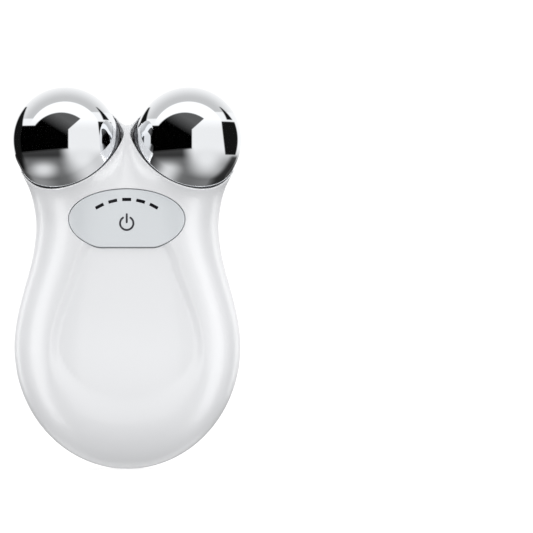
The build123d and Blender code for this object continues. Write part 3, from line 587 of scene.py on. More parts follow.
class Skin:
    """A triangle mesh on a surface, which can be refined and cut along curves."""

    def __init__(self, points, faces, kinds):
        self.points = points
        self.faces = faces
        self.on = {kind: np.zeros(len(points), bool) for kind in kinds}

    def copy(self):
        twin = Skin(self.points.copy(), self.faces.copy(), self.on)
        twin.on = {kind: flags.copy() for kind, flags in self.on.items()}
        return twin

    def edge_index(self):
        edges, index = np.unique(face_edges(self.faces), axis=0, return_inverse=True)
        return edges, index.reshape(-1, 3)

    def add_points(self, edges, shares):
        """New points along some edges. A point between two points of one cut is on that cut."""
        ends = self.points[edges]
        made = ends[:, 0] + (ends[:, 1] - ends[:, 0]) * shares[:, None]
        self.points = np.concatenate([self.points, made])
        for kind, flags in self.on.items():
            self.on[kind] = np.concatenate([flags, flags[edges].all(axis=1)])

    def refine(self, near):
        """Halves every edge that touches a marked point."""
        edges, index = self.edge_index()
        cut = near[edges].any(axis=1)
        number = np.cumsum(cut) - 1 + len(self.points)
        self.add_points(edges[cut], np.full(cut.sum(), 0.5))
        hit = cut[index]
        middles = number[index]
        made = [self.faces[~hit.any(axis=1)]]
        for turn in range(3):
            order = np.roll(np.arange(3), -turn)
            face, marks, middle = self.faces[:, order], hit[:, order], middles[:, order]
            one = marks[:, 0] & ~marks[:, 1] & ~marks[:, 2]
            a, b, c = face[one].T
            ab = middle[one, 0]
            made += [np.stack([a, ab, c], 1), np.stack([ab, b, c], 1)]
            two = marks[:, 0] & marks[:, 1] & ~marks[:, 2]
            a, b, c = face[two].T
            ab, bc = middle[two, 0], middle[two, 1]
            made += [np.stack([ab, b, bc], 1), np.stack([a, ab, bc], 1), np.stack([a, bc, c], 1)]
        every = hit.all(axis=1)
        a, b, c = self.faces[every].T
        ab, bc, ca = middles[every].T
        made += [np.stack([a, ab, ca], 1), np.stack([ab, b, bc], 1), np.stack([ca, bc, c], 1)]
        made.append(np.stack([ab, bc, ca], 1))
        self.faces = np.concatenate(made)

    def cut(self, kind, height):
        """Keeps what lies above 0 of a height field, and marks the points on the cut."""
        values = height(self.points)
        edges, index = self.edge_index()
        spans = np.abs(values[edges[:, 0]] - values[edges[:, 1]])
        crossing = (values[edges[:, 0]] > 0) != (values[edges[:, 1]] > 0)
        snap = np.zeros(len(values), bool)
        for end in (0, 1):
            close = crossing & (np.abs(values[edges[:, end]]) < SNAP_SHARE * spans)
            snap[edges[close, end]] = True
        sign = np.sign(values).astype(int)
        sign[snap] = 0
        self.on[kind] = self.on[kind] | snap
        crossing = sign[edges].prod(axis=1) < 0
        number = np.cumsum(crossing) - 1 + len(self.points)
        low, high = values[edges[crossing, 0]], values[edges[crossing, 1]]
        self.add_points(edges[crossing], low / (low - high))
        self.on[kind][len(values) :] = True
        signs = sign[self.faces]
        above, below = (signs > 0).sum(1), (signs < 0).sum(1)
        flat = (above == 0) & (below == 0) & (values[self.faces].mean(axis=1) > 0)
        made = [self.faces[((above > 0) & (below == 0)) | flat]]
        for turn in range(3):
            order = np.roll(np.arange(3), -turn)
            face, mark, middle = self.faces[:, order], signs[:, order], number[index[:, order]]
            lone = (mark[:, 0] > 0) & (mark[:, 1] < 0) & (mark[:, 2] < 0)
            made.append(np.stack([face[lone, 0], middle[lone, 0], middle[lone, 2]], 1))
            pair = (mark[:, 0] > 0) & (mark[:, 1] > 0) & (mark[:, 2] < 0)
            a, b = face[pair, 0], face[pair, 1]
            bc, ca = middle[pair, 1], middle[pair, 2]
            made += [np.stack([a, b, bc], 1), np.stack([a, bc, ca], 1)]
            after = (mark[:, 0] > 0) & (mark[:, 1] < 0) & (mark[:, 2] == 0)
            made.append(np.stack([face[after, 0], middle[after, 0], face[after, 2]], 1))
            before = (mark[:, 0] > 0) & (mark[:, 1] == 0) & (mark[:, 2] < 0)
            made.append(np.stack([face[before, 0], face[before, 1], middle[before, 2]], 1))
        self.faces = np.concatenate(made)
        self.drop_unused()

    def drop_unused(self):
        used = np.unique(self.faces)
        number = np.full(len(self.points), -1)
        number[used] = np.arange(len(used))
        self.points = self.points[used]
        self.faces = number[self.faces]
        self.on = {kind: flags[used] for kind, flags in self.on.items()}

    def settle_cuts(self, field, heights, rounds=5):
        """Moves the points of the cuts on to the surface and on to their curves at once."""
        touched = np.any([self.on[kind] for kind in heights], axis=0)
        for _ in range(rounds):
            self.points[touched] = settle(field, self.points[touched], 1)
            for kind, height in heights.items():
                here = self.on[kind]
                if not here.any():
                    continue
                spots = self.points[here]
                slope = gradient(height, spots)
                normal = unit(gradient(field, spots))
                slope -= normal * (slope * normal).sum(1)[:, None]
                square = np.maximum((slope**2).sum(1), LEAST_CURVE_SLOPE)
                step = slope * (height(spots) / square)[:, None]
                self.points[here] = spots - np.clip(step, -LONGEST_STEP, LONGEST_STEP)

    def rim_edges(self):
        """The directed edges that only one face uses."""
        directed = self.faces[:, [[0, 1], [1, 2], [2, 0]]].reshape(-1, 2)
        size = len(self.points)
        forward = directed[:, 0] * size + directed[:, 1]
        backward = directed[:, 1] * size + directed[:, 0]
        return directed[~np.isin(forward, backward)]


def fillet_profile(radius, rest):
    """Steps of a rounded edge: how far past the cut, how far in, and the turn of the normal."""
    steps = []
    for index in range(1, FILLET_STEPS + 1):
        turn = math.pi / 2 * index / FILLET_STEPS
        steps.append((radius * math.sin(turn), radius * (1 - math.cos(turn)), turn))
    return steps + [(out, down, None) for out, down in rest]


def thick_shell(skin, field, heights, profiles, thickness, rise=0.0):
    """A closed solid from a cut skin: the skin, rounded edges with walls, and an inner skin."""
    points, faces = skin.points, skin.faces
    size = len(points)
    normals = unit(gradient(field, points))
    rim = skin.rim_edges()
    rim_points = np.unique(rim)
    spots = points[rim_points]
    out = np.zeros((len(rim_points), 3))
    owner = np.full(len(rim_points), -1)
    for order, kind in enumerate(profiles):
        here = skin.on[kind][rim_points]
        slope = -gradient(heights[kind], spots[here])
        facing = normals[rim_points[here]]
        slope -= facing * (slope * facing).sum(1)[:, None]
        out[here] += unit(slope)
        owner[here] = order
    ring_of = np.full(size, -1)
    ring_of[rim_points] = np.arange(len(rim_points))
    layers = [points + normals * rise]
    layer_normals = [normals]
    strips = []
    before = rim
    steps = len(next(iter(profiles.values())))
    start = size
    table = np.zeros((len(rim_points), 2))
    for step in range(steps):
        turn_of = np.full(len(rim_points), np.nan)
        for order, kind in enumerate(profiles):
            past, down, turn = profiles[kind][step]
            here = owner == order
            table[here] = (past, down)
            if turn is not None:
                turn_of[here] = turn
        spot_normals = normals[rim_points]
        ring = spots + out * table[:, :1] + spot_normals * (rise - table[:, 1:])
        turned = spot_normals * np.cos(turn_of)[:, None] + unit(out) * np.sin(turn_of)[:, None]
        layers.append(ring)
        layer_normals.append(np.nan_to_num(turned))
        after = ring_of[rim] + start
        strips.append(np.stack([before[:, 1], before[:, 0], after[:, 0], after[:, 1]], 1))
        before = after
        start += len(rim_points)
    inland = np.setdiff1d(np.arange(size), rim_points)
    inner_number = ring_of + start - len(rim_points)
    inner_number[inland] = np.arange(len(inland)) + start
    inner = points[inland] + normals[inland] * (rise - thickness)
    layers.append(inner)
    layer_normals.append(np.zeros_like(inner))
    all_points = np.concatenate(layers)
    all_normals = np.concatenate(layer_normals)
    back = inner_number[faces[:, ::-1]]
    return all_points, [faces, *strips, back], all_normals, FILLET_STEPS


def build_mesh(name, points, groups, normals, smooth_strips):
    """A Blender object from face groups: the skin, the edge strips and the inner skin."""
    polygons = [face for group in groups for face in group.tolist()]
    mesh = bpy.data.meshes.new(name)
    mesh.from_pydata((points * MM).tolist(), [], polygons)
    mesh.validate(clean_customdata=False)
    mesh.shade_smooth()
    mesh.set_sharp_from_angle(angle=BLEND_ANGLE)
    made = bpy.data.objects.new(name, mesh)
    bpy.context.scene.collection.objects.link(made)
    set_normals(mesh, groups, normals, smooth_strips)
    return made


def set_normals(mesh, groups, normals, smooth_strips):
    """Exact normals on the skin and its rounded edges, worked-out ones elsewhere."""
    smooth_faces = sum(len(group) for group in groups[: 1 + smooth_strips])
    corners = np.zeros(len(mesh.loops), int)
    mesh.loops.foreach_get("vertex_index", corners)
    starts = np.zeros(len(mesh.polygons), int)
    totals = np.zeros(len(mesh.polygons), int)
    mesh.polygons.foreach_get("loop_start", starts)
    mesh.polygons.foreach_get("loop_total", totals)
    exact = np.repeat(np.arange(len(starts)) < smooth_faces, totals)
    values = np.where(exact[:, None], normals[corners], 0.0)
    mesh.normals_split_custom_set(values.tolist())


def finish_piece(made, body, replaced, material):
    made.data.materials.clear()
    made.data.materials.append(material)
    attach(made, body)
    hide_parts(*replaced)


# ---- curves on the front ----
def panel_gap(points, extra=0.0):
    """Signed distance from the outline of the control panel, seen from the front."""
    x, z = points[:, 0], points[:, 2] - PANEL_Z
    half = PANEL_HALF_WIDTH + extra
    rise = np.where(z > 0, PANEL_RISE + extra, PANEL_FALL + extra)
    first = np.sqrt((x / half) ** 2 + (z / rise) ** 2)
    second = np.sqrt((x / half**2) ** 2 + (z / rise**2) ** 2)
    oval = first * (first - 1.0) / np.maximum(second, TINY)
    return cut_softly(oval, -z - PANEL_FLAT - extra, PANEL_CORNER)


def window_places():
    """The middle of each window from the middle of the panel, and its tilt."""
    centre = WINDOW_ARC_RISE - WINDOW_ARC_RADIUS
    for index in range(WINDOW_COUNT):
        turn = math.radians((index - (WINDOW_COUNT - 1) / 2) * WINDOW_ARC_STEP)
        yield WINDOW_ARC_RADIUS * math.sin(turn), centre + WINDOW_ARC_RADIUS * math.cos(turn), turn


def window_gap(points):
    """Signed distance from the nearest indicator window."""
    x, z = points[:, 0], points[:, 2] - PANEL_Z
    rounding = WINDOW_ROUNDING
    nearest = np.full(len(points), FAR)
    for place_x, place_z, turn in window_places():
        along = (x - place_x) * math.cos(turn) - (z - place_z) * math.sin(turn)
        across = (x - place_x) * math.sin(turn) + (z - place_z) * math.cos(turn)
        over_x = np.abs(along) - WINDOW_LENGTH / 2 + rounding
        over_z = np.abs(across) - WINDOW_WIDTH / 2 + rounding
        outside = np.hypot(np.maximum(over_x, 0.0), np.maximum(over_z, 0.0))
        inside = np.minimum(np.maximum(over_x, over_z), 0.0)
        nearest = np.minimum(nearest, outside + inside - rounding)
    return nearest


def mark_gap(points):
    """Signed distance from the power mark: a broken ring and a bar, both with round ends."""
    x, z = points[:, 0], points[:, 2] - PANEL_Z + ICON_DROP
    stroke = ICON_STROKE / 2
    middle = ICON_RADIUS - stroke
    end_x = middle * math.sin(ICON_GAP_ANGLE)
    end_z = middle * math.cos(ICON_GAP_ANGLE)
    beside = np.abs(x) * math.cos(ICON_GAP_ANGLE) > z * math.sin(ICON_GAP_ANGLE)
    ring = np.where(beside, np.abs(np.hypot(x, z) - middle), np.hypot(np.abs(x) - end_x, z - end_z))
    top = ICON_BAR_TOP + ICON_DROP - stroke
    bar = np.hypot(x, z - np.clip(z, stroke, top))
    return np.minimum(ring, bar) - stroke


def parting_height(points):
    """How far in front of the parting surface each point lies."""
    line = SADDLE_Y * ease((points[:, 2] - PARTING_TURN_Z) / PARTING_LEAN)
    return line - points[:, 1]


def socket_gap(points):
    """Signed distance from the mouth of the charging socket, seen from below."""
    half_height = SOCKET_HEIGHT / 2 + SOCKET_GAP
    half_run = SOCKET_WIDTH / 2 + SOCKET_GAP - half_height
    beside = np.maximum(np.abs(points[:, 0]) - half_run, 0.0)
    gap = np.hypot(beside, points[:, 1]) - half_height
    return np.where(points[:, 2] < 0, gap, np.maximum(gap, SOCKET_FAR))


# ---- materials ----
def nodes_of(tree):
    tree.nodes.clear()
    return tree.nodes, tree.links


def grain_group():
    """Fine bumps and faint mottling of a moulded or plated surface."""
    name = "surface_grain"
    group = bpy.data.node_groups.get(name)
    if group:
        return group
    group = bpy.data.node_groups.new(name, "ShaderNodeTree")
    sockets = group.interface
    for label, default in (
        ("Grain Scale", 900.0),
        ("Mottle Scale", 60.0),
        ("Spread", 0.03),
        ("Base Roughness", 0.3),
    ):
        made = sockets.new_socket(label, in_out="INPUT", socket_type="NodeSocketFloat")
        made.default_value = default
    for label in ("Height", "Roughness", "Mask"):
        sockets.new_socket(label, in_out="OUTPUT", socket_type="NodeSocketFloat")
    nodes, links = group.nodes, group.links
    inputs = nodes.new("NodeGroupInput")
    outputs = nodes.new("NodeGroupOutput")
    place = nodes.new("ShaderNodeTexCoord")
    fine = nodes.new("ShaderNodeTexNoise")
    fine.inputs["Detail"].default_value = 3.0
    broad = nodes.new("ShaderNodeTexNoise")
    broad.inputs["Detail"].default_value = 5.0
    links.new(place.outputs["Object"], fine.inputs["Vector"])
    links.new(place.outputs["Object"], broad.inputs["Vector"])
    links.new(inputs.outputs["Grain Scale"], fine.inputs["Scale"])
    links.new(inputs.outputs["Mottle Scale"], broad.inputs["Scale"])
    centred = nodes.new("ShaderNodeMath")
    centred.operation = "SUBTRACT"
    centred.inputs[1].default_value = 0.5
    links.new(broad.outputs["Fac"], centred.inputs[0])
    swing = nodes.new("ShaderNodeMath")
    swing.operation = "MULTIPLY_ADD"
    links.new(centred.outputs[0], swing.inputs[0])
    links.new(inputs.outputs["Spread"], swing.inputs[1])
    links.new(inputs.outputs["Base Roughness"], swing.inputs[2])
    links.new(fine.outputs["Fac"], outputs.inputs["Height"])
    links.new(swing.outputs[0], outputs.inputs["Roughness"])
    links.new(broad.outputs["Fac"], outputs.inputs["Mask"])
    return group


def finish(name, colour, roughness, **more):
    """A procedural finish: base colour with faint mottling, grain and uneven gloss."""
    values = {
        "metallic": 0.0,
        "grain": 900.0,
        "depth": 0.02,
        "mottle": 60.0,
        "spread": 0.05,
        "shift": 0.04,
        "coat": 0.0,
        "transmission": 0.0,
        "ior": 1.46,
        "glow": 0.0,
    }
    values.update(more)
    material = bpy.data.materials.new(name)
    material.use_nodes = True
    nodes, links = nodes_of(material.node_tree)
    output = nodes.new("ShaderNodeOutputMaterial")
    shader = nodes.new("ShaderNodeBsdfPrincipled")
    links.new(shader.outputs["BSDF"], output.inputs["Surface"])
    shader.inputs["Metallic"].default_value = values["metallic"]
    shader.inputs["IOR"].default_value = values["ior"]
    shader.inputs["Transmission Weight"].default_value = values["transmission"]
    shader.inputs["Coat Weight"].default_value = values["coat"]
    shader.inputs["Coat Roughness"].default_value = 0.04
    shader.inputs["Emission Color"].default_value = (1.0, 1.0, 1.0, 1.0)
    shader.inputs["Emission Strength"].default_value = values["glow"]
    grain = nodes.new("ShaderNodeGroup")
    grain.node_tree = grain_group()
    grain.inputs["Grain Scale"].default_value = values["grain"]
    grain.inputs["Mottle Scale"].default_value = values["mottle"]
    grain.inputs["Spread"].default_value = values["spread"]
    grain.inputs["Base Roughness"].default_value = roughness
    links.new(grain.outputs["Roughness"], shader.inputs["Roughness"])
    tint = nodes.new("ShaderNodeMix")
    tint.data_type = "RGBA"
    darker = [channel * (1.0 - values["shift"]) for channel in colour]
    tint.inputs["A"].default_value = (*darker, 1.0)
    tint.inputs["B"].default_value = (*colour, 1.0)
    links.new(grain.outputs["Mask"], tint.inputs["Factor"])
    links.new(tint.outputs["Result"], shader.inputs["Base Color"])
    bump = nodes.new("ShaderNodeBump")
    bump.inputs["Strength"].default_value = 1.0
    bump.inputs["Distance"].default_value = values["depth"] * MM
    links.new(grain.outputs["Height"], bump.inputs["Height"])
    links.new(bump.outputs["Normal"], shader.inputs["Normal"])
    return material


INNER_FINISHES = {
    "clear_guide": ((0.92, 0.94, 0.95), 0.12, {"transmission": 0.9, "ior": 1.49}),
    "seal_rubber": ((0.3, 0.3, 0.31), 0.62, {"depth": 0.01}),
    "carrier_plastic": ((0.2, 0.2, 0.21), 0.45, {}),
    "frame_plastic": ((0.32, 0.33, 0.34), 0.5, {}),
    "steel": ((0.62, 0.62, 0.63), 0.3, {"metallic": 1.0}),
    "brass": ((0.72, 0.52, 0.22), 0.32, {"metallic": 1.0}),
    "board_green": ((0.02, 0.16, 0.07), 0.4, {"coat": 0.3}),
    "component_black": ((0.02, 0.02, 0.022), 0.45, {}),
    "lamp_white": ((0.85, 0.84, 0.75), 0.3, {}),
    "cell_blue": ((0.1, 0.22, 0.5), 0.35, {}),
    "foam": ((0.06, 0.06, 0.065), 0.9, {"grain": 2500.0, "depth": 0.15}),
    "lead_red": ((0.5, 0.03, 0.03), 0.4, {}),
}
PLAIN_FINISH = ((0.5, 0.5, 0.5), 0.5, {})


# ---- operators ----
def base_skin(settings):
    """The whole outer skin of the body, its surface, and its surface without the scoop."""
    blends = (settings.ear_blend / MM, settings.back_rounding / MM, settings.scoop_slope / MM)

    def field(points):
        gap = body_gap(points, blends)
        for side in (1, -1):
            gap = np.maximum(gap, rim_height(points, side) - EAR_OVERRUN)
        return gap

    def surface(points):
        return body_gap(points, blends)

    def plain(points):
        return body_gap(points, blends, scooped=False)

    step = settings.mesh_step / MM
    low = np.array([-PALM_WIDTH / 2 - GRID_MARGIN, GRID_FRONT_Y, -GRIP_DROP - GRID_MARGIN])
    high = np.array([PALM_WIDTH / 2 + GRID_MARGIN, BACK_DEPTH + GRID_MARGIN, GRID_TOP_Z])
    axes = [np.arange(a, b + step, step) for a, b in zip(low, high)]
    grid = np.stack(np.meshgrid(*axes, indexing="ij"), axis=-1)
    values = field(grid.reshape(-1, 3)).reshape(grid.shape[:3])
    points, quads = net_mesh(values, low, step)
    edges = np.sort(quads[:, [[0, 1], [1, 2], [2, 3], [3, 0]]].reshape(-1, 2), axis=1)
    edges = np.unique(edges, axis=0)
    points = settle(field, points, 2)
    points = relax(points, edges, field, RELAX_ROUNDS)
    faces = np.concatenate([quads[:, :3], quads[:, [0, 2, 3]]])
    return Skin(points, faces, CUTS), surface, plain


def both_rims(points):
    """Above 0 below the planes of both rims."""
    return -np.maximum(rim_height(points, 1), rim_height(points, -1))


def refine_near(skin, field, height, reach, levels):
    """Halves the edges beside a curve, a few times over."""
    for level in range(levels):
        near = np.abs(height(skin.points)) < reach / 2**level
        fresh = len(skin.points)
        skin.refine(near)
        skin.points[fresh:] = settle(field, skin.points[fresh:], 2)


def shell_profiles():
    """The rounded edges and walls of a shell's cuts, and the stepped seat inside each rim."""
    profiles = {}
    for kind in ("seam", "aperture", "socket"):
        radius = HOUSING_FILLETS[kind]
        profiles[kind] = fillet_profile(radius, [(radius, WALL * share) for share in WALL_STEPS])
    inside = RIM_RADIUS - LEDGE_RADIUS
    seat = [
        (HOUSING_FILLETS["rim"], LIP_WIDTH),
        (-REBATE_DEPTH, LIP_WIDTH),
        (-REBATE_DEPTH, inside),
        (-REBATE_DEPTH - LEDGE_THICKNESS, inside),
        (-REBATE_DEPTH - LEDGE_THICKNESS, WALL),
    ]
    profiles["rim"] = fillet_profile(HOUSING_FILLETS["rim"], seat)
    return profiles


class TONER_OT_housing(bpy.types.Operator):
    """Builds the two glossy shells with their seam, rims, aperture and socket mouth"""

    bl_idname = "toner.housing"
    bl_label = "Build housing"

    def execute(self, context):
        settings = context.scene.toner_housing
        skin, field, plain = base_skin(settings)
        store["skin"], store["plain"] = skin, plain
        step = settings.mesh_step / MM
        skin = skin.copy()

        def near_panel(p):
            return panel_gap(p) + REFINE_BEHIND * (p[:, 1] > 0)

        def around_panel(p):
            return panel_gap(p, PANEL_GAP) + CUT_BEHIND * (p[:, 1] > 0)

        refine_near(skin, field, both_rims, EDGE_REACH * step, 1)
        refine_near(skin, field, near_panel, EDGE_REACH * step, 2)
        refine_near(skin, field, socket_gap, SOCKET_REACH * step, 2)
        fillets = HOUSING_FILLETS
        gap = settings.seam_gap / MM / 2
        shared = {
            "aperture": lambda p: around_panel(p) - fillets["aperture"],
            "socket": lambda p: socket_gap(p) - fillets["socket"],
            "rim": lambda p: both_rims(p) - fillets["rim"],
        }
        material = finish(
            "glossy_white_plastic",
            tuple(settings.colour),
            0.4,
            grain=500.0,
            depth=0.0015,
            spread=0.06,
            shift=0.015,
            coat=0.12,
        )
        for name, node, facing in (
            ("housing_front", "front_shell", 1),
            ("housing_back", "back_shell", -1),
        ):
            heights = dict(shared)
            heights["seam"] = lambda p, facing=facing: (
                parting_height(p) * facing - gap - fillets["seam"]
            )
            half = skin.copy()
            for kind in ("seam", "aperture", "socket", "rim"):
                half.cut(kind, heights[kind])
            half.settle_cuts(field, heights)
            made = build_mesh(name, *thick_shell(half, field, heights, shell_profiles(), WALL))
            finish_piece(made, "housing", [node], material)
        return {"FINISHED"}


def on_front(height):
    """A height field that holds on the front half only, so that a cut drops the back."""
    return lambda p: np.where(p[:, 1] < 0, height(p), OFF_FRONT)


class TONER_OT_panel(bpy.types.Operator):
    """Builds the satin control panel with its inlaid windows and power mark"""

    bl_idname = "toner.panel"
    bl_label = "Build control panel"

    def execute(self, context):
        settings = context.scene.toner_panel
        skin, field = store["skin"].copy(), store["plain"]
        edge = on_front(lambda p: -panel_gap(p, PLATE_SPREAD) - PANEL_FILLETS["edge"])
        skin.cut("edge", on_front(lambda p: PLATE_MARGIN - panel_gap(p)))
        skin.on["edge"][:] = False
        skin.points = settle(field, skin.points, 3)
        refine_near(skin, field, edge, PLATE_REACH, 2)
        for gap in (window_gap, mark_gap):
            refine_near(skin, field, gap, INLAY_REACH, 3)
        skin.cut("edge", edge)
        self.make_plate(skin.copy(), field, edge, settings)
        self.make_inlays(skin, field, settings)
        return {"FINISHED"}

    def make_plate(self, plate, field, edge, settings):
        heights = {
            "edge": edge,
            "window": lambda p: window_gap(p) - PANEL_FILLETS["window"],
            "mark": lambda p: mark_gap(p) - PANEL_FILLETS["mark"],
        }
        for kind in ("window", "mark"):
            plate.cut(kind, heights[kind])
        plate.settle_cuts(field, heights)
        profiles = {
            kind: fillet_profile(radius, [(radius, PANEL_THICKNESS)])
            for kind, radius in PANEL_FILLETS.items()
        }
        shell = thick_shell(plate, field, heights, profiles, PANEL_THICKNESS, PANEL_PROUD)
        made = build_mesh("control_plate", *shell)
        satin = finish(
            "satin_grey_plastic", tuple(settings.colour), 0.38, grain=2600.0, depth=0.004, shift=0.02
        )
        finish_piece(made, "panel", ["control_panel"], satin)

    def make_inlays(self, skin, field, settings):
        smoked = finish("smoked_window", tuple(settings.window_colour), 0.14, coat=0.5)
        ink = finish("power_mark_ink", tuple(settings.mark_colour), 0.4)
        windows = ("level_windows", "window", window_gap, WINDOW_DEPTH, WINDOW_RISE)
        mark = ("power_mark", "mark", mark_gap, ICON_DEPTH, ICON_RISE)
        for (name, kind, gap, depth, rise), node, slot, material in (
            (windows, "indicator_windows", "window_dark", smoked),
            (mark, "power_icon", "icon_dark", ink),
        ):
            inlay = skin.copy()
            height = {kind: lambda p, gap=gap: -gap(p) - INLAY_GAP}
            inlay.cut(kind, height[kind])
            inlay.settle_cuts(field, height)
            shape = {kind: fillet_profile(INLAY_FILLET, [(INLAY_FILLET, depth)])}
            made = build_mesh(name, *thick_shell(inlay, field, height, shape, depth, rise))
            finish_piece(made, "panel", [node], material)


def lathe(name, profile, segments, side):
    """A solid turned about one electrode's axis, from a closed run of radius and height."""
    turns = np.arange(segments) * 2 * math.pi / segments
    axis = sided(CAP_AXIS, side)
    across = sided(CAP_ACROSS, side)
    third = np.cross(axis, across)
    spokes = np.cos(turns)[:, None] * across + np.sin(turns)[:, None] * third
    points = []
    rings = []
    for radius, height in profile:
        centre = sided(RIM_CENTRE, side) + axis * height
        start = len(points)
        if radius < TINY:
            points.append(centre)
            rings.append([start] * segments)
        else:
            points.extend(centre + spokes * radius)
            rings.append(list(range(start, start + segments)))
    faces = []
    for lower, upper in zip(rings, rings[1:]):
        for index in range(segments):
            after = (index + 1) % segments
            face = [lower[index], lower[after], upper[after], upper[index]]
            unique = list(dict.fromkeys(face))
            if len(unique) > 2:
                faces.append(unique)
    mesh = bpy.data.meshes.new(name)
    mesh.from_pydata([tuple(point * MM) for point in points], [], faces)
    mesh.validate()
    mesh.shade_smooth()
    mesh.set_sharp_from_angle(angle=LATHE_ANGLE)
    made = bpy.data.objects.new(name, mesh)
    bpy.context.scene.collection.objects.link(made)
    return made


def quarter_turn(steps, first=0):
    """Cosine and sine at each step of a quarter turn."""
    turns = [math.pi / 2 * index / steps for index in range(first, steps + 1)]
    return [(math.cos(turn), math.sin(turn)) for turn in turns]


def cap_profile():
    """Radius and height around a cap's wall: lower edge, skirt, dome and inside."""
    inner = CAP_RADIUS - CAP_WALL
    wide = CAP_RADIUS + SKIRT_TAPER
    edge = CAP_EDGE
    low = SKIRT_END + edge
    profile = [(inner, low)]
    for across, along in quarter_turn(CAP_EDGE_STEPS, 1):
        profile.append((inner + edge - edge * across, low - edge * along))
    for across, along in quarter_turn(CAP_EDGE_STEPS):
        profile.append((wide - edge + edge * along, low - edge * across))
    for index in range(1, SKIRT_STEPS):
        share = index / SKIRT_STEPS
        profile.append((wide - SKIRT_TAPER * share, low + (SKIRT_LENGTH - low) * share))
    line = quarter_turn(DOME_STEPS)[:-1]
    profile += [(CAP_RADIUS * c, SKIRT_LENGTH + CAP_RADIUS * s) for c, s in line]
    profile.append((0.0, SKIRT_LENGTH + CAP_RADIUS))
    profile.append((0.0, SKIRT_LENGTH + inner))
    inner_line = reversed(line[::INNER_DOME_SKIP])
    profile += [(inner * c, SKIRT_LENGTH + inner * s) for c, s in inner_line]
    profile.append((inner, low))
    return profile


def ring_profile():
    """Radius and height around a sealing ring, which fills the gap below the cap's skirt."""
    outer = RIM_RADIUS - LIP_WIDTH - RING_GAP
    return [
        (LEDGE_RADIUS, -REBATE_DEPTH),
        (outer, -REBATE_DEPTH),
        (outer, SKIRT_END),
        (LEDGE_RADIUS, SKIRT_END),
        (LEDGE_RADIUS, -REBATE_DEPTH),
    ]


class TONER_OT_electrodes(bpy.types.Operator):
    """Builds the plated caps and the dark sealing rings behind them"""

    bl_idname = "toner.electrodes"
    bl_label = "Build electrodes"

    def execute(self, context):
        settings = context.scene.toner_electrodes
        chrome = finish(
            "polished_chrome",
            tuple(settings.colour),
            0.035,
            metallic=1.0,
            grain=220.0,
            depth=0.0,
            mottle=90.0,
            spread=0.02,
            shift=0.02,
        )
        rubber = finish("seal_rubber_ring", (0.05, 0.05, 0.055), 0.55, depth=0.01)
        for label, side in (("right", 1), ("left", -1)):
            made = lathe(f"chrome_cap_{label}", cap_profile(), settings.segments, side)
            finish_piece(made, "housing", [f"electrode_cap_{label}"], chrome)
            made = lathe(f"seal_ring_{label}", ring_profile(), settings.segments, side)
            finish_piece(made, "housing", [f"sealing_ring_{label}"], rubber)
        return {"FINISHED"}


class TONER_OT_inner_parts(bpy.types.Operator):
    """Gives each inner part that stays from the frame its own finish"""

    bl_idname = "toner.inner_parts"
    bl_label = "Finish inner parts"

    def execute(self, context):
        slot_of = {part["node"]: part["material_slot"] for part in frame["record"]["subparts"]}
        made = {}
        for node, thing in frame["nodes"].items():
            if thing.hide_render:
                continue
            slot = slot_of[node]
            if slot not in made:
                colour, roughness, more = INNER_FINISHES.get(slot, PLAIN_FINISH)
                made[slot] = finish(f"inner_{slot}", colour, roughness, **more)
            thing.data.materials.clear()
            thing.data.materials.append(made[slot])
        return {"FINISHED"}


class Field:
    """A value in a node tree, so that a formula reads as one."""

    def __init__(self, tree, socket):
        self.tree = tree
        self.socket = socket

    def math(self, operation, *others):
        node = self.tree.nodes.new("ShaderNodeMath")
        node.operation = operation
        for slot, value in enumerate((self, *others)):
            if isinstance(value, Field):
                self.tree.links.new(value.socket, node.inputs[slot])
            else:
                node.inputs[slot].default_value = value
        return Field(self.tree, node.outputs[0])

    def __add__(self, other):
        return self.math("ADD", other)

    def __sub__(self, other):
        return self.math("SUBTRACT", other)

    def __mul__(self, other):
        return self.math("MULTIPLY", other)

    def __truediv__(self, other):
        return self.math("DIVIDE", other)

    def larger(self, other):
        return self.math("MAXIMUM", other)

    def smaller(self, other):
        return self.math("MINIMUM", other)

    def root(self):
        return self.math("SQRT")

    def above(self, edge, softness=0.012):
        """0 below the edge and 1 above it."""
        node = self.tree.nodes.new("ShaderNodeMapRange")
        node.interpolation_type = "SMOOTHSTEP"
        self.tree.links.new(self.socket, node.inputs["Value"])
        node.inputs["From Min"].default_value = edge - softness
        node.inputs["From Max"].default_value = edge + softness
        return Field(self.tree, node.outputs["Result"])

    def below(self, edge, softness=0.012):
        return self.above(edge, softness) * -1.0 + 1.0

    def painted(self, value, mask):
        """This value, with another one where the mask is 1."""
        return self + (self * -1.0 + value) * mask


def distance_from(u, v, centre_u, centre_v, stretch=1.0):
    across = u - centre_u
    along = (v - centre_v) * stretch
    return (across * across + along * along).root()


def walls(u, v):
    """White above and grey below, with two soft pools of light, and darker at the bottom."""
    light = v.above(-0.3, 0.2) * 0.86 + 0.2
    for brightness, across, up, stretch, radius, softness in LIGHT_POOLS:
        pool = distance_from(u, v, across, up, stretch).below(radius, softness)
        light = light.painted(brightness, pool)
    return light * (v.below(-0.74, 0.16) * -0.7 + 1.0)


def overhead(light, u, v, ball):
    """A grey ceiling, lower on the left, and the white softbox and wall inside its ring."""
    ceiling = ball.above(SOFTBOX_RADIUS) * (v - u.above(0.0) * 0.13).above(0.4)
    light = light.painted(ball.above(0.9, 0.12) * 0.4 + 0.64, ceiling)
    softbox = ball.below(SOFTBOX_RADIUS) * v.above(-0.16, 0.12)
    return light.painted(v.above(0.32, 0.14) * 0.24 + 0.98, softbox)


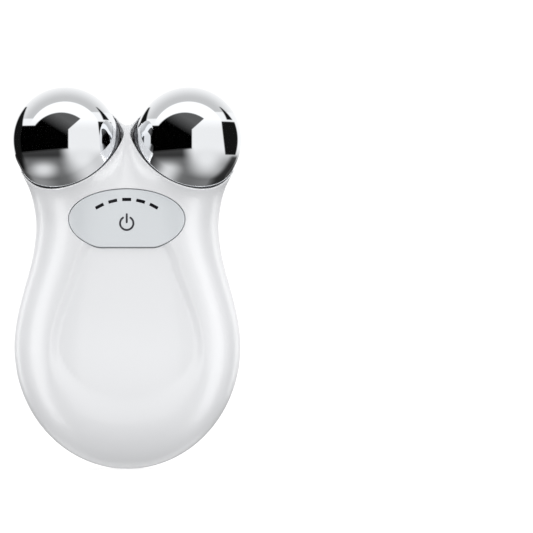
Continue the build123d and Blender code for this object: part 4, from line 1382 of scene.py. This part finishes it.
def doorway(light, u, v, ball):
    """A dark doorway on the left, with a slanted roof, and the dark floor under it."""
    roof = distance_from(u, v, -0.07, -0.11).below(0.625)
    roof = roof.larger(u.below(-0.52) * v.below(0.27))
    right = u.below(0.065).larger(((v - 0.2) - (u - 0.07) * 0.9).above(0.0))
    floor_line = v - u * 0.08
    sill = floor_line.above(-0.175, 0.02)
    opening = roof * right * ball.below(0.965) * sill
    shade = (v * 0.42 + u * 0.25 - 0.04).larger(0.0).smaller(0.12)
    light = light.painted(shade, opening)
    under = floor_line.below(-0.16) * u.below(0.0, 0.14) * v.above(-0.41, 0.13)
    return light * (under * -0.94 + 1.0)


def left_flag(u, v, ball):
    """A dark flag on the left, which narrows towards both ends."""
    rim = ball - v.larger(0.26) * 0.3
    flag = u.below(-0.42, 0.06) * rim.above(0.765) * ball.below(0.975) * v.below(0.62)
    low_edge = (u + (v + 0.13) * 0.17).below(-0.82, 0.06)
    return flag * low_edge.larger(v.above(-0.15, 0.05)) * v.above(-0.62, 0.12)


def right_flags(u, v, ball):
    """A wedge, a door jamb and a band on the right, and a dark line along the lower rim."""
    drop = v * -1.0 + 0.63
    wedge = (ball - drop * 0.2).below(0.862) * (ball + drop * 0.14).above(0.85)
    wedge = wedge * u.above(0.3) * v.below(0.63) * v.above(0.385)
    jamb_edge = (u + (v - 0.35) * 0.12).above(0.62)
    door_jamb = jamb_edge * v.below(0.35) * v.above(-0.28) * ball.below(0.93)
    band = u.above(0.4) * ball.above(0.86, 0.05) * ball.below(0.97) * v.below(-0.3, 0.04)
    rim_line = ball.above(0.95, 0.03) * v.below(-0.45, 0.1) * 0.7
    return wedge, door_jamb, band * 0.9, rim_line


def studio_reflections(tree, direction):
    """Brightness of the studio as a polished ball shows it, over the ball's own disc."""
    parts = tree.nodes.new("ShaderNodeSeparateXYZ")
    tree.links.new(direction, parts.inputs[0])
    x, y, z = (Field(tree, socket) for socket in parts.outputs)
    spread = ((y * -1.0 + 1.0) * 2.0).larger(LEAST_SPREAD).root()
    u = x / spread
    v = z / spread
    ball = distance_from(u, v, 0.0, 0.0)
    light = overhead(walls(u, v), u, v, ball)
    light = doorway(light, u, v, ball)
    flags = left_flag(u, v, ball)
    for flag in right_flags(u, v, ball):
        flags = flags.larger(flag)
    return light.painted(FLAG_LIGHT, flags)


class TONER_OT_stage(bpy.types.Operator):
    """Makes the pale floor, the soft studio light and the camera"""

    bl_idname = "toner.stage"
    bl_label = "Build stage"

    def execute(self, context):
        settings = context.scene.toner_stage
        scene = context.scene
        scene.view_settings.view_transform = "Standard"
        self.make_floor(settings)
        self.make_world(scene)
        self.make_lights()
        self.make_camera(scene, settings)
        return {"FINISHED"}

    def make_floor(self, settings):
        half = settings.floor_size / 2
        height = (-GRIP_DROP - FLOOR_DROP) * MM
        mesh = bpy.data.meshes.new("floor")
        corners = [(x * half, y * half, height) for x, y in ((-1, -1), (1, -1), (1, 1), (-1, 1))]
        mesh.from_pydata(corners, [], [(0, 1, 2, 3)])
        floor = bpy.data.objects.new("floor", mesh)
        bpy.context.scene.collection.objects.link(floor)
        mesh.materials.append(
            finish("pale_floor", (0.45, 0.45, 0.45), 0.8, shift=0.0, depth=0.0, glow=0.6)
        )
        floor.visible_glossy = False
        floor.visible_diffuse = False
        floor.visible_shadow = False

    def make_world(self, scene):
        world = bpy.data.worlds.new("studio")
        scene.world = world
        world.use_nodes = True
        tree = world.node_tree
        nodes, links = nodes_of(tree)
        place = nodes.new("ShaderNodeTexCoord")
        path = nodes.new("ShaderNodeLightPath")
        shine = studio_reflections(tree, place.outputs["Generated"])
        parts = nodes.new("ShaderNodeSeparateXYZ")
        links.new(place.outputs["Generated"], parts.inputs[0])
        _, y, z = (Field(tree, socket) for socket in parts.outputs)
        soft = z * SOFT_RISE + SOFT_LEVEL - y * SOFT_TURN
        glossy = Field(tree, path.outputs["Is Glossy Ray"])
        camera = Field(tree, path.outputs["Is Camera Ray"])
        light = soft.painted(shine, glossy).painted(BACKDROP, camera)
        background = nodes.new("ShaderNodeBackground")
        background.inputs["Color"].default_value = (1.0, 1.0, 1.0, 1.0)
        links.new(light.socket, background.inputs["Strength"])
        output = nodes.new("ShaderNodeOutputWorld")
        links.new(background.outputs[0], output.inputs["Surface"])

    def make_lights(self):
        """Soft panels around the device that light its plastic and leave the chrome alone."""
        for name, pieces, turn, rise, width, height, strength in SOFT_PANELS:
            lit = bpy.data.collections.new(f"lit_by_{name}")
            for piece in pieces:
                lit.objects.link(bpy.data.objects[piece])
            light = bpy.data.lights.new(name, "AREA")
            light.shape = "RECTANGLE"
            light.size = width
            light.size_y = height
            light.energy = strength * math.pi * width * height
            heading = Euler((math.radians(90.0 - rise), 0.0, math.radians(turn)))
            holder = bpy.data.objects.new(name, light)
            holder.rotation_euler = heading
            offset = heading.to_matrix() @ Vector((0.0, 0.0, LIGHT_RANGE))
            holder.location = Vector(LIGHT_TARGET) + offset
            holder.visible_camera = False
            holder.visible_diffuse = False
            holder.light_linking.receiver_collection = lit
            bpy.context.scene.collection.objects.link(holder)

    def make_camera(self, scene, settings):
        """Straight at the front, beside the device, so that it stands in the left half."""
        camera = bpy.data.cameras.new("camera")
        camera.lens = settings.lens
        camera.sensor_width = SENSOR_WIDTH
        distance = VIEW_WIDTH * settings.lens / camera.sensor_width
        camera.clip_start = CLIP_NEAR
        camera.clip_end = CLIP_FAR
        holder = bpy.data.objects.new("camera", camera)
        scene.collection.objects.link(holder)
        x, y, z = VIEW_CENTRE
        holder.location = (x, y - distance, z)
        holder.rotation_euler = (math.pi / 2, 0.0, 0.0)
        scene.camera = holder


class TONER_PT_panel(bpy.types.Panel):
    """Lists the steps that build the device"""

    bl_idname = "TONER_PT_panel"
    bl_label = "Facial toning device"
    bl_space_type = "VIEW_3D"
    bl_region_type = "UI"
    bl_category = "Toner"

    def draw(self, context):
        layout = self.layout
        scene = context.scene
        for group, operator in (
            (scene.toner_housing, TONER_OT_housing),
            (scene.toner_panel, TONER_OT_panel),
            (scene.toner_electrodes, TONER_OT_electrodes),
            (None, TONER_OT_inner_parts),
            (scene.toner_stage, TONER_OT_stage),
        ):
            box = layout.box()
            for name in getattr(group, "__annotations__", {}):
                box.prop(group, name)
            box.operator(operator.bl_idname)


CLASSES = (
    HousingSettings,
    PanelSettings,
    ElectrodeSettings,
    StageSettings,
    TONER_OT_housing,
    TONER_OT_panel,
    TONER_OT_electrodes,
    TONER_OT_inner_parts,
    TONER_OT_stage,
    TONER_PT_panel,
)
store = {}


def register():
    for entry in CLASSES:
        bpy.utils.register_class(entry)
    bpy.types.Scene.toner_housing = PointerProperty(type=HousingSettings)
    bpy.types.Scene.toner_panel = PointerProperty(type=PanelSettings)
    bpy.types.Scene.toner_electrodes = PointerProperty(type=ElectrodeSettings)
    bpy.types.Scene.toner_stage = PointerProperty(type=StageSettings)


def unregister():
    for name in ("toner_housing", "toner_panel", "toner_electrodes", "toner_stage"):
        delattr(bpy.types.Scene, name)
    for entry in reversed(CLASSES):
        bpy.utils.unregister_class(entry)


def main():
    register()
    bpy.ops.toner.housing()
    bpy.ops.toner.panel()
    bpy.ops.toner.electrodes()
    bpy.ops.toner.inner_parts()
    bpy.ops.toner.stage()


if __name__ == "__main__":
    main()
